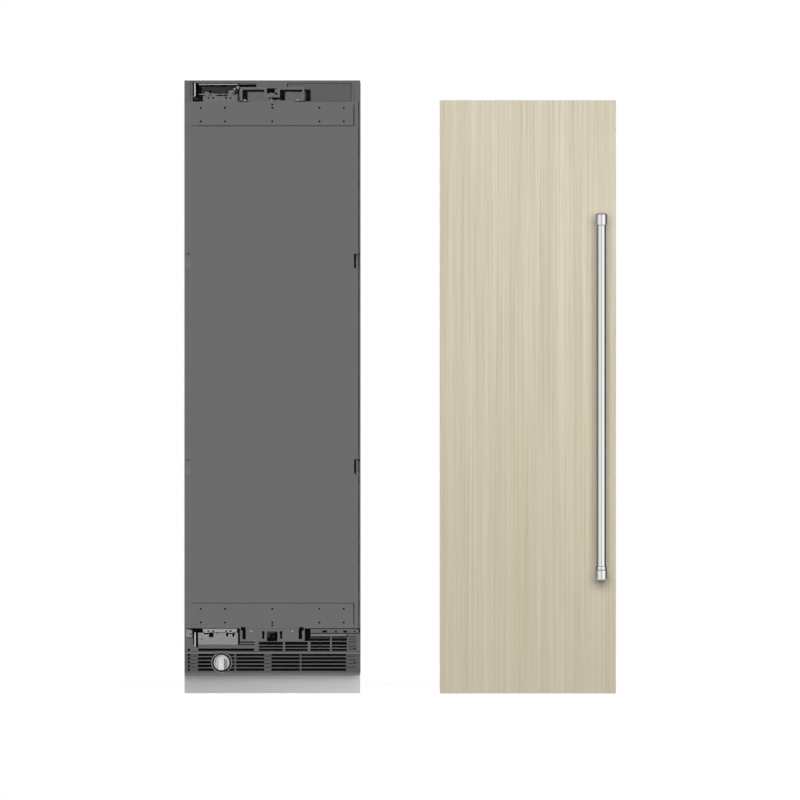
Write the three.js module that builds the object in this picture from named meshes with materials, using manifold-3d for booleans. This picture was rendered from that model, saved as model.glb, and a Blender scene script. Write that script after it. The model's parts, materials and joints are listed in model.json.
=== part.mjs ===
// Panel-ready column freezer, with its wooden door panel taken off and standing beside it.
// Millimetres, +Z up. X runs to the right and the front faces -Y.
// X is 0 on the cabinet's centre line, Y is 0 at its front plane and Z is 0 on the floor.
import * as THREE from 'three';
import { mergeVertices } from 'three/addons/utils/BufferGeometryUtils.js';
import Module from 'manifold-3d';

const wasm = await Module();
wasm.setup();

// Clearances
const fit = 0.3;
const overrun = 6;
const roundSides = 24;
const smallSides = 8;
const tubeSides = 6;

// Cabinet
const cabinetWidth = 604;
const cabinetDepth = 545;
const toeKickHeight = 64;
const baseHeight = 159;
const doorZoneHeight = 1811;
const fasciaHeight = 73;
const caseSheet = 2;
const frameSheet = 2;
const backSheet = 1.7;
const deckSheet = 2;
const sideWall = 52;
const ceilingWall = 123.7;
const backWall = 74.7;
const linerWall = 1.8;
const interiorAboveDeck = 48;
const apronAboveGrille = 11.2;
const apronPastChannel = 6;

// Back panel
const ventWidth = 150;
const ventHeight = 5;
const ventPitch = 14;
const ventRows = 6;
const ventStart = 96;
const ventFromCentre = 150;
const glandRadius = 15;
const glandBore = 6;
const glandLength = 14;
const glandHeight = 130;
const glandFromSide = 48;

// Chassis, feet and rollers
const panSheet = 2;
const panFrontInset = 10;
const panEdgeHeight = 28;
const footFromSide = 37;
const footFromFront = 46;
const footStudRadius = 5;
const footPadRadius = 19;
const footPadHeight = 12;
const footStudLength = 78;
const footBossRadius = 14;
const footBossHeight = 16;
const rollerRadius = 24;
const rollerWidth = 22;
const rollerAxleRadius = 5;
const rollerFromSide = 45;
const rollerFromBack = 48;
const lugThickness = 4;
const lugWidth = 30;
const lugDrop = 12;

// Toe kick
const toeKickSheet = 1.6;
const toeKickProud = 6;
const toeKickFlange = 22;

// Lower grille
const grilleProud = 36;
const grilleSheet = 3;
const lowerGrilleHeight = 75.2;
const lowerSlotHeight = 8.4;
const lowerSlotPitch = 12.7;
const lowerSlotRows = 5;
const lowerSlotMargin = 13.6;
const lowerColumnShares = [[-0.962, -0.936], [-0.846, -0.43], [-0.412, -0.093], [-0.01, 0.314],
  [0.33, 0.839]];

// Base fascia, the upper grille: columns as shares of the half width, rows as shares of its height
const upperColumnShares = [[-0.152, 0.121], [0.145, 0.403], [0.434, 0.657], [0.677, 0.85]];
const upperRowShares = [[0.08, 0.172], [0.209, 0.297], [0.331, 0.456]];
const shortRowShares = [0.492, 0.585];
const longSlotShares = [-0.84, -0.205];
const endSlotShares = [-0.962, -0.936];
const longRowShares = [0.08, 0.18];
const thinSlotShares = [-0.384, -0.2];
const thinRowShares = [0.316, 0.354];
const wiringGapShares = [0.369, 0.436];
const serviceSlitShares = [0.436, 0.85];
const serviceSlitRowShares = [0.793, 0.826];
const serviceHoleShares = [[0.569, 0.623], [0.714, 0.734], [0.808, 0.849]];
const serviceHoleRowShares = [0.837, 0.918];
const hingePocketEdge = 1.2;
const channelPocketGap = 5;

// Filter, its tube and its knob
const filterFromSide = 128;
const filterAboveMiddle = 4;
const filterEdgeMargin = 0.9;
const filterTubeWall = 3.7;
const filterPanGap = 89;
const cartridgeGap = 3;
const filterSetback = 4;
const filterSaddleWidth = 30;
const filterSaddleLength = 24;
const saddlePlaceShare = 0.25;
const knobGap = 1.5;
const knobThickness = 10;
const knobGripWidth = 17;
const knobGripRise = 14.5;
const knobGripDrop = 25;
const knobGripDepth = 12;
const grilleRingWidth = 4.3;

// Machine compartment
const condenserFilterGap = 57.3;
const condenserFromSide = 66;
const condenserDepth = 52;
const condenserHeadroom = 18.4;
const condenserFromFront = 42;
const condenserFins = 11;
const condenserFinSheet = 1.6;
const condenserTubeRadius = 4;
const condenserTubes = 3;
const shroudSheet = 3;
const shroudDepth = 30;
const condenserFanMargin = 9;
const fanTipGap = 4;
const fanHubRadius = 17;
const fanHubLength = 20;
const fanBladeSheet = 3;
const fanBladeWidth = 20;
const fanBlades = 5;
const fanBladeLean = Math.PI / 5;
const fanShaftRadius = 4;
const fanBoreRadius = 4.6;
const motorRadius = 24;
const motorLength = 26;
const motorGap = 3;
const spiderBar = 9;
const compressorRadius = 78;
const compressorHeadroom = 14.4;
const compressorFromSide = 182;
const compressorFromBack = 165;
const compressorFootHeight = 9;
const compressorFootSpread = 86;
const compressorFootRadius = 12;
const compressorProfileShares = [
  [0, 0.035], [0.72, 0.035], [0.94, 0.14], [1, 0.23], [1, 0.75], [0.9, 0.89], [0.55, 0.98], [0, 1],
];
const drainPanLength = 170;
const drainPanHeight = 42;
const drainPanWall = 3;
const drainPanFromSide = 57;
const drainPanFromBack = 145;
const drainPanGap = 57;

// Cold coil, its fan and its cover
const coilSideGap = 50;
const coilHeight = 300;
const coilDepth = 50;
const coilFins = 13;
const coilFinSheet = 1.6;
const coilTubeRadius = 4;
const coilTubeRows = 3;
const coilAboveFloor = 420;
const coverSheet = 2.4;
const coverFromBack = 70;
const coolFanRadius = 66;
const coolFanAboveCoil = 130;
const fanGuardBar = 4.8;
const coverSlotWidth = 190;
const coverSlotHeight = 9;
const coverSlotShares = [0.04, 0.18, 0.66, 0.82, 0.95];

// Shelves
const shelfFromFront = 100;
const shelfGlass = 5;
const shelfTrimHeight = 22;
const shelfTrimDepth = 16;
const shelfSideDepth = 12;
const shelfHeightShares = [0.07, 0.353, 0.635];

// Drawers and their rails
const drawerSideGap = 52;
const drawerFromFront = 30;
const drawerBackGap = 18.3;
const drawerHeight = 222;
const drawerWall = 3;
const drawerFrontThickness = 12;
const drawerGripDrop = 12;
const drawerGripHeight = 24;
const drawerHeadroom = 46;
const drawerAboveFloor = 14;
const drawerNames = ['lower', 'middle', 'upper'];
const runnerReach = 26;
const runnerSheet = 4;
const runnerHeightShare = 0.55;
const runnerSetback = 90;
const railPlate = 14;
const railLedge = 6;
const railSetback = 30;
const railClearance = 3;

// Ice maker and ice bin
const iceMakerWidth = 200;
const iceMakerFromLight = 32;
const iceMakerHeight = 112;
const iceMakerHang = 26;
const iceMouldWall = 6;
const iceMouldDepth = 46;
const iceMouldCells = 7;
const iceArmWire = 5;
const iceStubRadius = 3.5;
const iceArmHubRadius = 6.5;
const iceArmLength = 150;
const iceArmDrop = 40;
const iceArmSetback = 34;
const iceArmPivotDrop = 78;
const iceArmStub = 12;
const iceBinX = -52;
const iceBinWidth = 216;
const iceBinBackGap = 30;
const iceBinHeadroom = 48.4;
const iceBinWall = 3;

// Control panel and light
const controlWidth = 180;
const controlDepth = 60;
const controlHeight = 18;
const controlFromFront = 28;
const lightWidth = 260;
const lightDepth = 34;
const lightHeight = 5;
const lightBehindControl = 16;

// Door
const gasketGap = 8;
const doorThickness = 57;
const doorEdgeGap = 1.5;
const doorFaceInset = 21;
const doorFaceStep = 2;
const doorStripInset = 6;
const doorStripSetback = 15;
const doorSkin = 2;
const doorCoreInset = 24;
const doorLinerThickness = 12;
const dykeInset = 12;
const dykeWall = 14;
const dykeDepth = 23;
const notchWidth = 13.7;
const notchHeight = 50;
const notchDepth = 8;
const notchCentreShares = [0.307, 0.698];
const gasketWidth = 14;
const gasketInset = 17;

// Door bins
const binHeight = 110;
const binShelfGap = 15;
const binWall = 3;
const binHeightShares = [0.143, 0.4165, 0.69];
const binNames = ['lower', 'middle', 'upper'];

// Hinges
const hingeAxisFromSide = 12;
const hingePinRadius = 4;
const hingePinDepth = 14;
const hingeArmSheet = 5;
const hingeArmDepth = 9.4;
const hingeArmRise = 9;
const hingeBarWidth = 5.6;
const hingeBarFromSide = 31.4;
const channelFromSide = 47;
const channelWidth = 137;
const channelSheet = 2.5;
const channelDepth = 42;
const channelWebSetback = 20;
const channelRib = 4;
const channelTopGap = 2;
const channelNotchWidth = 29;
const channelNotchDrop = 14;
const channelNotchRound = 6.5;
const leafFromSide = 64;
const leafWidth = 117;
const leafSheet = 3;
const leafSetback = 5;
const leafDepth = 18;
const leafHoleRadius = 2.2;
const leafHoleShares = [0.16, 0.3, 0.68, 0.81];
const leafHookWidth = 15;
const leafHookDepth = 11;
const leafHookRise = 15;
const leafHookShares = [0.115, 0.8];
const channelNotchShares = [0.17, 0.8];
const upperLeafHeight = 20.5;
const lowerLeafHeight = 14;
const upperChannelRise = 25.5;
const lowerChannelRise = 16;
const lowerChannelHeight = 41;
const lowerPocketGap = 1;

// Top fascia
const fasciaProud = 40;
const fasciaSheet = 2;
const pocketTopMargin = 9;
const loomSlotShares = [-0.39, -0.182];
const loomSlotDrop = 14;
const loomSlotHeight = 9;
const rightPocketShares = [0.168, 0.9];
const blankSetback = 9;

// Mounting plates and panel brackets
const plateSheet = 2;
const plateEdgeMargin = 21;
const upperPlateHeight = 81;
const lowerPlateHeight = 85;
const plateHoleRadius = 2.6;
const plateHoleShares = [-0.875, -0.577, 0, 0.577, 0.875];
const plateRowSetback = 20;
const plateRowPitch = 47;
const plateCentreHoleDrop = 9;
const bracketLeafGap = 10;
const bracketStrip = 8.7;
const bracketSheet = 3;
const bracketFasciaGap = 5.3;
const bracketFootLength = 34;
const upperBracketHeight = 51;
const lowerBracketHeight = 45;
const bracketCentreHalfWidth = 27;
const upperLoopRise = 15.5;
const lowerLoopRise = 8;
const lowerTongueShares = [0.31, 0.82];

// Door panel and its handle
const panelWidth = 605;
const panelHeight = 2038.5;
const panelThickness = 20;
const panelBesideCabinet = 273.5;
const panelEdgeRound = 1.5;
const handleLength = 1261;
const handleFromEdge = 51;
const handleRadius = 16.3;
const handleStandoff = 52;
const handleCapRadius = 20.8;
const handleCapBevel = 3;
const upperCapHeight = 40.5;
const lowerCapHeight = 35.5;
const handleSocketDepth = 14;
const handleCollarRadius = 18.6;
const handleCollarHeight = 14;
const handlePostRadius = 11;
const handleRoseRadius = 17;
const handleRoseThickness = 4;

// Places that follow from the sizes: the cabinet and the door
const halfWidth = cabinetWidth / 2;
const doorZoneBottom = toeKickHeight + baseHeight;
const fasciaBottom = doorZoneBottom + doorZoneHeight;
const cabinetTop = fasciaBottom + fasciaHeight;
const insideCase = halfWidth - caseSheet;
const caseFront = frameSheet + fit;
const caseBack = cabinetDepth - backSheet - fit;
const deckTop = doorZoneBottom + deckSheet + fit;
const interiorBottom = deckTop + interiorAboveDeck;
const interiorTop = cabinetTop - ceilingWall;
const interiorHeight = interiorTop - interiorBottom;
const interiorBack = cabinetDepth - backWall;
const interiorHalf = halfWidth - sideWall;
const panTop = toeKickHeight + fit + panSheet;
const machineFloor = panTop + fit;
const machineHeight = doorZoneBottom - machineFloor;
const doorBottom = doorZoneBottom + doorEdgeGap;
const doorHeight = doorZoneHeight - 2 * doorEdgeGap;
const doorTop = doorBottom + doorHeight;
const doorFront = -gasketGap - doorThickness;
const doorShellBack = -gasketGap - doorLinerThickness - fit;
const lowerGrilleBottom = toeKickHeight + fit;
const lowerGrilleTop = lowerGrilleBottom + lowerGrilleHeight;
const baseFasciaBottom = lowerGrilleTop + fit;
const baseFasciaTop = doorZoneBottom - fit;
const coverFront = interiorBack - coverFromBack;
const panelX = halfWidth + panelBesideCabinet + panelWidth / 2;

// Places that follow from the sizes: the hinges and the brackets
const hingeX = -halfWidth + hingeAxisFromSide;
const hingeY = -fasciaProud + fasciaSheet + fit + hingeArmDepth / 2;
const channelSpan = [-halfWidth + channelFromSide, -halfWidth + channelFromSide + channelWidth];
const hingePocketSpan = [-halfWidth + hingeBarFromSide - hingePocketEdge, channelSpan[1] + channelPocketGap];
const upperChannelHeight = cabinetTop - pocketTopMargin - channelTopGap - doorTop - upperChannelRise;
const leafFace = -doorFront - leafSetback;
const leafSpan = [-halfWidth + leafFromSide, -halfWidth + leafFromSide + leafWidth];
const bracketHalfWidth = -leafSpan[1] - bracketLeafGap;
const bracketFootDepth = -doorFront + fit - fasciaProud - bracketFasciaGap;

// Places that follow from the sizes: the machine compartment
const compressorX = halfWidth - compressorFromSide;
const compressorY = cabinetDepth - compressorFromBack;
const compressorHeight = machineHeight - compressorHeadroom;
const drainPanLeft = -halfWidth + drainPanFromSide;
const drainPanRight = compressorX - compressorFootSpread - compressorFootRadius - drainPanGap;
const drainPanWidth = drainPanRight - drainPanLeft;
const drainPanFront = cabinetDepth - drainPanFromBack - drainPanLength / 2;
const filterX = -halfWidth + filterFromSide;
const filterHeight = lowerGrilleBottom + lowerGrilleHeight / 2 + filterAboveMiddle;
const filterTubeRadius = lowerGrilleHeight / 2 - filterAboveMiddle - filterEdgeMargin;
const filterTubeBore = filterTubeRadius - filterTubeWall;
const filterTubeBack = drainPanFront - filterPanGap;
const filterFront = -grilleProud + filterSetback;
const filterCartridgeRadius = filterTubeBore - cartridgeGap;
const filterCartridgeLength = filterTubeBack - filterSaddleLength - fit - filterFront;
const knobRadius = filterTubeBore - knobGap;
const condenserLeft = filterX + filterTubeRadius + condenserFilterGap;
const condenserWidth = halfWidth - condenserFromSide - condenserLeft;
const condenserHeight = machineHeight - condenserHeadroom;
const condenserFanRadius = condenserHeight / 2 - condenserFanMargin;

// Places that follow from the sizes: the cold space
const coilWidth = 2 * (interiorHalf - coilSideGap);
const coolFanAboveFloor = coilAboveFloor + coilHeight + coolFanAboveCoil;
const drawerWidth = 2 * (interiorHalf - drawerSideGap);
const drawerLength = coverFront - drawerBackGap - drawerFromFront;
const drawerPitch = drawerHeight + drawerHeadroom;
const drawersTop = drawerAboveFloor + drawerNames.length * drawerPitch - drawerHeadroom;
const shelfZone = interiorHeight - drawersTop;
const shelfDepth = coverFront - fit - shelfFromFront;
const upperShelfTop = drawersTop + shelfHeightShares[2] * shelfZone + shelfGlass;
const lightFromFront = controlFromFront + controlDepth + lightBehindControl;
const iceMakerFront = lightFromFront + lightDepth + iceMakerFromLight;
const iceMakerLength = coverFront - fit - iceMakerFront;
const iceMakerZ = interiorHeight - fit - iceMakerHang - iceMakerHeight;
const iceBinLength = shelfDepth - iceBinBackGap;
const iceBinHeight = iceMakerZ - upperShelfTop - fit - iceBinHeadroom;
const binReach = shelfFromFront - binShelfGap;

// Solids from three.js shapes, joined and cut
function solidOf(geometry) {
  geometry.deleteAttribute('normal');
  geometry.deleteAttribute('uv');
  const merged = mergeVertices(geometry);
  return new wasm.Manifold(new wasm.Mesh({
    numProp: 3,
    vertProperties: new Float32Array(merged.attributes.position.array),
    triVerts: new Uint32Array(merged.index.array),
  }));
}

function block([x0, x1], [y0, y1], [z0, z1]) {
  const geometry = new THREE.BoxGeometry(x1 - x0, y1 - y0, z1 - z0);
  geometry.translate((x0 + x1) / 2, (y0 + y1) / 2, (z0 + z1) / 2);
  return solidOf(geometry);
}

// A round bar along 'x', 'y' or 'z' from start to end, with its axis at the two other places.
function rod(axis, radius, [start, end], first, second, sides = roundSides) {
  const geometry = new THREE.CylinderGeometry(radius, radius, end - start, sides);
  geometry.translate(0, (start + end) / 2, 0);
  if (axis === 'x') {
    geometry.rotateZ(-Math.PI / 2);
    geometry.translate(0, first, second);
  } else if (axis === 'y') {
    geometry.translate(first, 0, second);
  } else {
    geometry.rotateX(Math.PI / 2);
    geometry.translate(first, second, 0);
  }
  return solidOf(geometry);
}

function between(a, b) {
  return [Math.min(a, b), Math.max(a, b)];
}

function middle(centre, size) {
  return [centre - size / 2, centre + size / 2];
}

function join(...solids) {
  return solids.reduce((whole, next) => whole.add(next));
}

function cut(solid, ...tools) {
  return tools.reduce((rest, tool) => rest.subtract(tool), solid);
}

function piece(name, solid, material) {
  const result = solid.getMesh();
  const geometry = new THREE.BufferGeometry();
  geometry.setAttribute('position', new THREE.BufferAttribute(result.vertProperties, 3));
  geometry.setIndex(new THREE.BufferAttribute(result.triVerts, 1));
  geometry.computeVertexNormals();
  const mesh = new THREE.Mesh(geometry, material);
  mesh.name = name;
  return mesh;
}

function finish(colour, roughness, metalness) {
  return new THREE.MeshStandardMaterial({ color: colour, roughness, metalness });
}

// Finishes
const brushedSteel = finish(0x8a8b8d, 0.38, 0.9);
const brightSteel = finish(0xb4b6b8, 0.3, 0.95);
const zincSheet = finish(0xa3a6a8, 0.5, 0.85);
const paintedGrey = finish(0x6b6c6e, 0.5, 0.3);
const darkGrey = finish(0x3a3b3d, 0.6, 0.2);
const blackPlastic = finish(0x1b1c1d, 0.55, 0);
const whitePlastic = finish(0xeceded, 0.45, 0);
const clearPlastic = finish(0xd5e2ea, 0.15, 0);
const shelfGlassFinish = finish(0xcfe3df, 0.05, 0);
const softSeal = finish(0xb9babb, 0.8, 0);
const foamFinish = finish(0xe9d9a4, 0.95, 0);
const coilMetal = finish(0xc4c7c9, 0.35, 0.95);
const compressorBlack = finish(0x17181a, 0.35, 0.4);
const oakFinish = finish(0xc9c0ab, 0.6, 0);

// Cabinet

function cabinetShell() {
  const depth = [caseFront, caseBack];
  const height = [panTop, cabinetTop];
  const sides = [-1, 1].map((side) => block(between(side * insideCase, side * halfWidth), depth, height));
  const roof = block([-halfWidth, halfWidth], depth, [cabinetTop - caseSheet, cabinetTop]);
  const deck = block([-halfWidth, halfWidth], depth, [doorZoneBottom, doorZoneBottom + deckSheet]);
  return join(...sides, roof, deck);
}

function backPanel() {
  const depth = [cabinetDepth - backSheet, cabinetDepth];
  const cutDepth = [depth[0] - overrun, cabinetDepth + overrun];
  const sheet = block([-halfWidth, halfWidth], depth, [panTop, cabinetTop]);
  const vents = [];
  for (const side of [-1, 1]) {
    for (let row = 0; row < ventRows; row += 1) {
      const low = ventStart + row * ventPitch;
      vents.push(block(middle(side * ventFromCentre, ventWidth), cutDepth, [low, low + ventHeight]));
    }
  }
  const glandDepth = [depth[0] - glandLength, cabinetDepth];
  const glandX = halfWidth - glandFromSide;
  const gland = rod('y', glandRadius, glandDepth, glandX, glandHeight);
  const bore = rod('y', glandBore, [glandDepth[0] - overrun, cutDepth[1]], glandX, glandHeight);
  return cut(cut(sheet, ...vents).add(gland), bore);
}

function foamInsulation() {
  const outer = block([-insideCase + fit, insideCase - fit], [caseFront, caseBack - fit],
    [deckTop, cabinetTop - caseSheet - fit]);
  const linerOut = linerWall + fit;
  const hollow = block([-interiorHalf - linerOut, interiorHalf + linerOut],
    [caseFront - overrun, interiorBack + linerOut],
    [interiorBottom - linerOut, interiorTop + linerOut]);
  return outer.subtract(hollow);
}

function innerLiner() {
  const outer = block([-interiorHalf - linerWall, interiorHalf + linerWall],
    [caseFront, interiorBack + linerWall], [interiorBottom - linerWall, interiorTop + linerWall]);
  const hollow = block([-interiorHalf, interiorHalf], [caseFront - overrun, interiorBack],
    [interiorBottom, interiorTop]);
  return outer.subtract(hollow);
}

function faceFrame() {
  const depth = [0, frameSheet];
  const ring = block([-halfWidth, halfWidth], depth, [doorZoneBottom, cabinetTop]);
  const apron = block([-halfWidth, channelSpan[1] + apronPastChannel], depth,
    [baseFasciaBottom + apronAboveGrille, doorZoneBottom]);
  const opening = block([-interiorHalf, interiorHalf], [-overrun, frameSheet + overrun],
    [interiorBottom, interiorTop]);
  return ring.add(apron).subtract(opening);
}

// Chassis

function footPlace(side) {
  return [side * (halfWidth - footFromSide), footFromFront];
}

function rollerPlace(side) {
  return [side * (halfWidth - rollerFromSide), cabinetDepth - rollerFromBack];
}

function basePan() {
  const width = insideCase - fit;
  const depth = [panFrontInset, caseBack - fit];
  const floor = block([-width, width], depth, [panTop - panSheet, panTop]);
  const edges = [-1, 1].map((side) => block(between(side * width, side * (width - panSheet)), depth,
    [panTop - panSheet, panTop + panEdgeHeight]));
  const bosses = [];
  const holes = [];
  const lugs = [];
  for (const side of [-1, 1]) {
    const [footX, footY] = footPlace(side);
    bosses.push(rod('z', footBossRadius, [panTop - panSheet, panTop + footBossHeight], footX, footY));
    holes.push(rod('z', footStudRadius + fit, [0, panTop + footBossHeight + overrun], footX, footY));
    const [rollerX, rollerY] = rollerPlace(side);
    for (const inner of [-1, 1]) {
      const face = rollerX + inner * (rollerWidth / 2 + fit);
      const lugDepth = middle(rollerY, lugWidth);
      lugs.push(block(between(face, face + inner * lugThickness), lugDepth,
        [rollerRadius - lugDrop, panTop - panSheet]));
    }
    const axleHole = rollerWidth + 2 * (fit + lugThickness + overrun);
    holes.push(rod('x', rollerAxleRadius + fit, middle(rollerX, axleHole), rollerY, rollerRadius));
  }
  return cut(join(floor, ...edges, ...bosses, ...lugs), ...holes);
}

function levellingFoot() {
  const pad = rod('z', footPadRadius, [0, footPadHeight], 0, 0);
  const stud = rod('z', footStudRadius, [0, footStudLength], 0, 0);
  return pad.add(stud);
}

function rearRoller() {
  const tyre = rod('x', rollerRadius, middle(0, rollerWidth), 0, 0);
  const axle = rod('x', rollerAxleRadius, middle(0, rollerWidth + 2 * (fit + lugThickness)), 0, 0);
  return tyre.add(axle);
}

function toeKick() {
  const width = [-halfWidth, halfWidth];
  const front = block(width, [-toeKickProud, -toeKickProud + toeKickSheet], [0, toeKickHeight]);
  const depth = [-toeKickProud, -toeKickProud + toeKickFlange];
  const foot = block(width, depth, [0, toeKickSheet]);
  const head = block(width, depth, [toeKickHeight - toeKickSheet, toeKickHeight]);
  return join(front, foot, head);
}

// Grilles

function fromShares(shares) {
  return shares.map((share) => share * halfWidth);
}

function lowerGrille() {
  const depth = [-grilleProud, -grilleProud + grilleSheet];
  const cutDepth = [depth[0] - overrun, depth[1] + overrun];
  const face = block([-halfWidth, halfWidth], depth, [lowerGrilleBottom, lowerGrilleTop]);
  const sides = [-1, 1].map((side) => block(between(side * insideCase, side * halfWidth),
    [-grilleProud, frameSheet], [panTop, lowerGrilleTop]));
  const foot = block([-insideCase, insideCase], [-grilleProud, panFrontInset - fit],
    [lowerGrilleBottom, lowerGrilleBottom + grilleSheet - fit]);
  const tray = join(face, ...sides, foot);
  const slots = [];
  for (const columnShares of lowerColumnShares) {
    for (let row = 0; row < lowerSlotRows; row += 1) {
      const low = lowerGrilleBottom + lowerSlotMargin + row * lowerSlotPitch;
      slots.push(block(fromShares(columnShares), cutDepth, [low, low + lowerSlotHeight]));
    }
  }
  const ring = rod('y', filterTubeRadius + grilleRingWidth, [cutDepth[0] - overrun, cutDepth[1] + overrun],
    filterX, filterHeight, 2 * roundSides);
  const hole = rod('y', filterTubeRadius + fit, cutDepth, filterX, filterHeight, 2 * roundSides);
  return cut(tray, join(...slots).subtract(ring), hole);
}

function baseFascia() {
  const depth = [-fasciaProud, -fasciaProud + fasciaSheet];
  const cutDepth = [depth[0] - overrun, depth[1] + overrun];
  const height = [baseFasciaBottom, baseFasciaTop];
  const face = block([-halfWidth, halfWidth], depth, height);
  const sides = [-1, 1].map((side) => block(between(side * insideCase, side * halfWidth),
    [-fasciaProud, -fit], height));
  const foot = block([-halfWidth, halfWidth], [-fasciaProud, -fit],
    [baseFasciaBottom, baseFasciaBottom + fasciaSheet]);
  const tray = join(face, ...sides, foot);
  const rowSpan = (shares) => shares.map(
    (share) => baseFasciaBottom + share * (baseFasciaTop - baseFasciaBottom));
  const slot = (columnShares, rowShares) => block(fromShares(columnShares), cutDepth, rowSpan(rowShares));
  const slots = [
    ...upperColumnShares.flatMap((column) => upperRowShares.map((row) => slot(column, row))),
    ...upperColumnShares.slice(2).map((column) => slot(column, shortRowShares)),
    ...serviceHoleShares.map((column) => slot(column, serviceHoleRowShares)),
    slot(serviceSlitShares, serviceSlitRowShares),
    slot(longSlotShares, longRowShares),
    slot(endSlotShares, longRowShares),
    slot(thinSlotShares, thinRowShares),
  ];
  const wiringGap = block(fromShares(wiringGapShares), cutDepth,
    [rowSpan(shortRowShares)[0], baseFasciaTop + overrun]);
  const hingeOpening = block(hingePocketSpan, cutDepth,
    [doorBottom - lowerChannelRise - lowerChannelHeight - lowerPocketGap, baseFasciaTop + overrun]);
  return cut(tray, ...slots, wiringGap, hingeOpening);
}

// Water filter

function filterHousing() {
  const depth = [-grilleProud, filterTubeBack];
  const tube = rod('y', filterTubeRadius, depth, filterX, filterHeight, 2 * roundSides);
  const inset = saddlePlaceShare * (depth[1] - depth[0]);
  const saddles = [depth[0] + inset, depth[1] - inset].map((y) => block(
    middle(filterX, filterSaddleWidth), middle(y, filterSaddleLength), [machineFloor, filterHeight]));
  const bore = rod('y', filterTubeBore, [depth[0] - overrun, depth[1] - filterSaddleLength],
    filterX, filterHeight, 2 * roundSides);
  return cut(join(tube, ...saddles), bore);
}

function waterFilter() {
  return rod('y', filterCartridgeRadius, [0, filterCartridgeLength], 0, 0);
}

function filterKnob() {
  const plate = rod('y', knobRadius, [-knobThickness, 0], 0, 0, 2 * roundSides);
  const grip = block(middle(0, knobGripWidth), [-knobThickness - knobGripDepth, -knobThickness / 2],
    [-knobGripDrop, knobGripRise]);
  return plate.add(grip);
}

// Cooling machine

// A fan rotor on the Y axis: a bored hub and blades that lean like a propeller's.
function fanRotor(radius) {
  const hub = rod('y', fanHubRadius, [0, fanHubLength], 0, 0);
  const blades = [];
  for (let index = 0; index < fanBlades; index += 1) {
    const length = radius - fanHubRadius / 2;
    const geometry = new THREE.BoxGeometry(length, fanBladeSheet, fanBladeWidth);
    geometry.translate(fanHubRadius / 2 + length / 2, 0, 0);
    geometry.rotateX(fanBladeLean);
    geometry.rotateY(index * 2 * Math.PI / fanBlades);
    geometry.translate(0, fanHubLength / 2, 0);
    blades.push(solidOf(geometry));
  }
  const disc = rod('y', radius, [0, fanHubLength], 0, 0, 2 * roundSides);
  const bore = rod('y', fanBoreRadius, [-overrun, fanHubLength + overrun], 0, 0);
  return join(hub, ...blades).intersect(disc).subtract(bore);
}

// The motor pod behind a fan, with its shaft and the bars that carry it. It faces -Y, and
// the plate that it hangs on ends at plateBack.
function fanMotor(radius, centreX, centreZ, plateBack) {
  const podFront = plateBack + motorGap + fanHubLength + motorGap;
  const pod = rod('y', motorRadius, [podFront, podFront + motorLength], centreX, centreZ);
  const shaft = rod('y', fanShaftRadius, [plateBack + motorGap, podFront + motorLength / 2],
    centreX, centreZ);
  const reach = radius + fanTipGap + spiderBar;
  const bars = [-1, 1].map((side) => {
    const post = block(middle(centreX + side * (reach - spiderBar / 2), spiderBar),
      [plateBack - fit, podFront + spiderBar], middle(centreZ, spiderBar));
    const arm = block(between(centreX, centreX + side * reach),
      [podFront, podFront + spiderBar], middle(centreZ, spiderBar));
    return post.add(arm);
  });
  return join(pod, shaft, ...bars);
}

// A finned block: upright fins, level tubes through them and an end plate on each side.
function finnedBlock(width, depth, height, fins, finSheet, tubeRadius, tubeRows) {
  const plates = [];
  for (let index = 0; index < fins; index += 1) {
    const x = finSheet / 2 + index * (width - finSheet) / (fins - 1);
    plates.push(block(middle(x, finSheet), [0, depth], [0, height]));
  }
  const tubes = [];
  for (let row = 0; row < tubeRows; row += 1) {
    const z = height * (row + 0.5) / tubeRows;
    tubes.push(rod('x', tubeRadius, [0, width], depth / 2, z, tubeSides));
  }
  return join(...plates, ...tubes);
}

function condenserBlock() {
  return finnedBlock(condenserWidth, condenserDepth, condenserHeight, condenserFins,
    condenserFinSheet, condenserTubeRadius, condenserTubes);
}

const shroudFront = condenserFromFront + condenserDepth + fit;
const shroudPlateBack = shroudFront + shroudDepth;
const condenserFanX = condenserLeft + condenserWidth / 2;
const condenserFanZ = machineFloor + condenserHeight / 2;

function condenserFanShroud() {
  const width = [condenserLeft, condenserLeft + condenserWidth];
  const height = [machineFloor, machineFloor + condenserHeight];
  const outer = block(width, [shroudFront, shroudPlateBack], height);
  const hollow = block([width[0] + shroudSheet, width[1] - shroudSheet],
    [shroudFront - overrun, shroudPlateBack - shroudSheet],
    [height[0] + shroudSheet, height[1] - shroudSheet]);
  const hole = rod('y', condenserFanRadius + fanTipGap, [shroudFront, shroudPlateBack + overrun],
    condenserFanX, condenserFanZ, 2 * roundSides);
  const motor = fanMotor(condenserFanRadius, condenserFanX, condenserFanZ, shroudPlateBack);
  return cut(outer, hollow, hole).add(motor);
}

function compressorPot() {
  const profile = compressorProfileShares.map(([radiusShare, heightShare]) => new THREE.Vector2(
    radiusShare * compressorRadius, heightShare * compressorHeight));
  const geometry = new THREE.LatheGeometry(profile, roundSides);
  geometry.rotateX(Math.PI / 2);
  const feet = [];
  for (const sideX of [-1, 1]) {
    for (const sideY of [-1, 1]) {
      feet.push(rod('z', compressorFootRadius, [0, compressorFootHeight],
        sideX * compressorFootSpread, sideY * compressorFootSpread, smallSides));
    }
  }
  const rails = [-1, 1].map((side) => block([-compressorFootSpread, compressorFootSpread],
    middle(side * compressorFootSpread, compressorFootRadius),
    [compressorFootHeight / 2, compressorFootHeight]));
  const cross = block(middle(0, compressorRadius), [-compressorFootSpread, compressorFootSpread],
    [compressorFootHeight / 2, compressorFootHeight]);
  return join(solidOf(geometry), ...feet, ...rails, cross);
}

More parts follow.
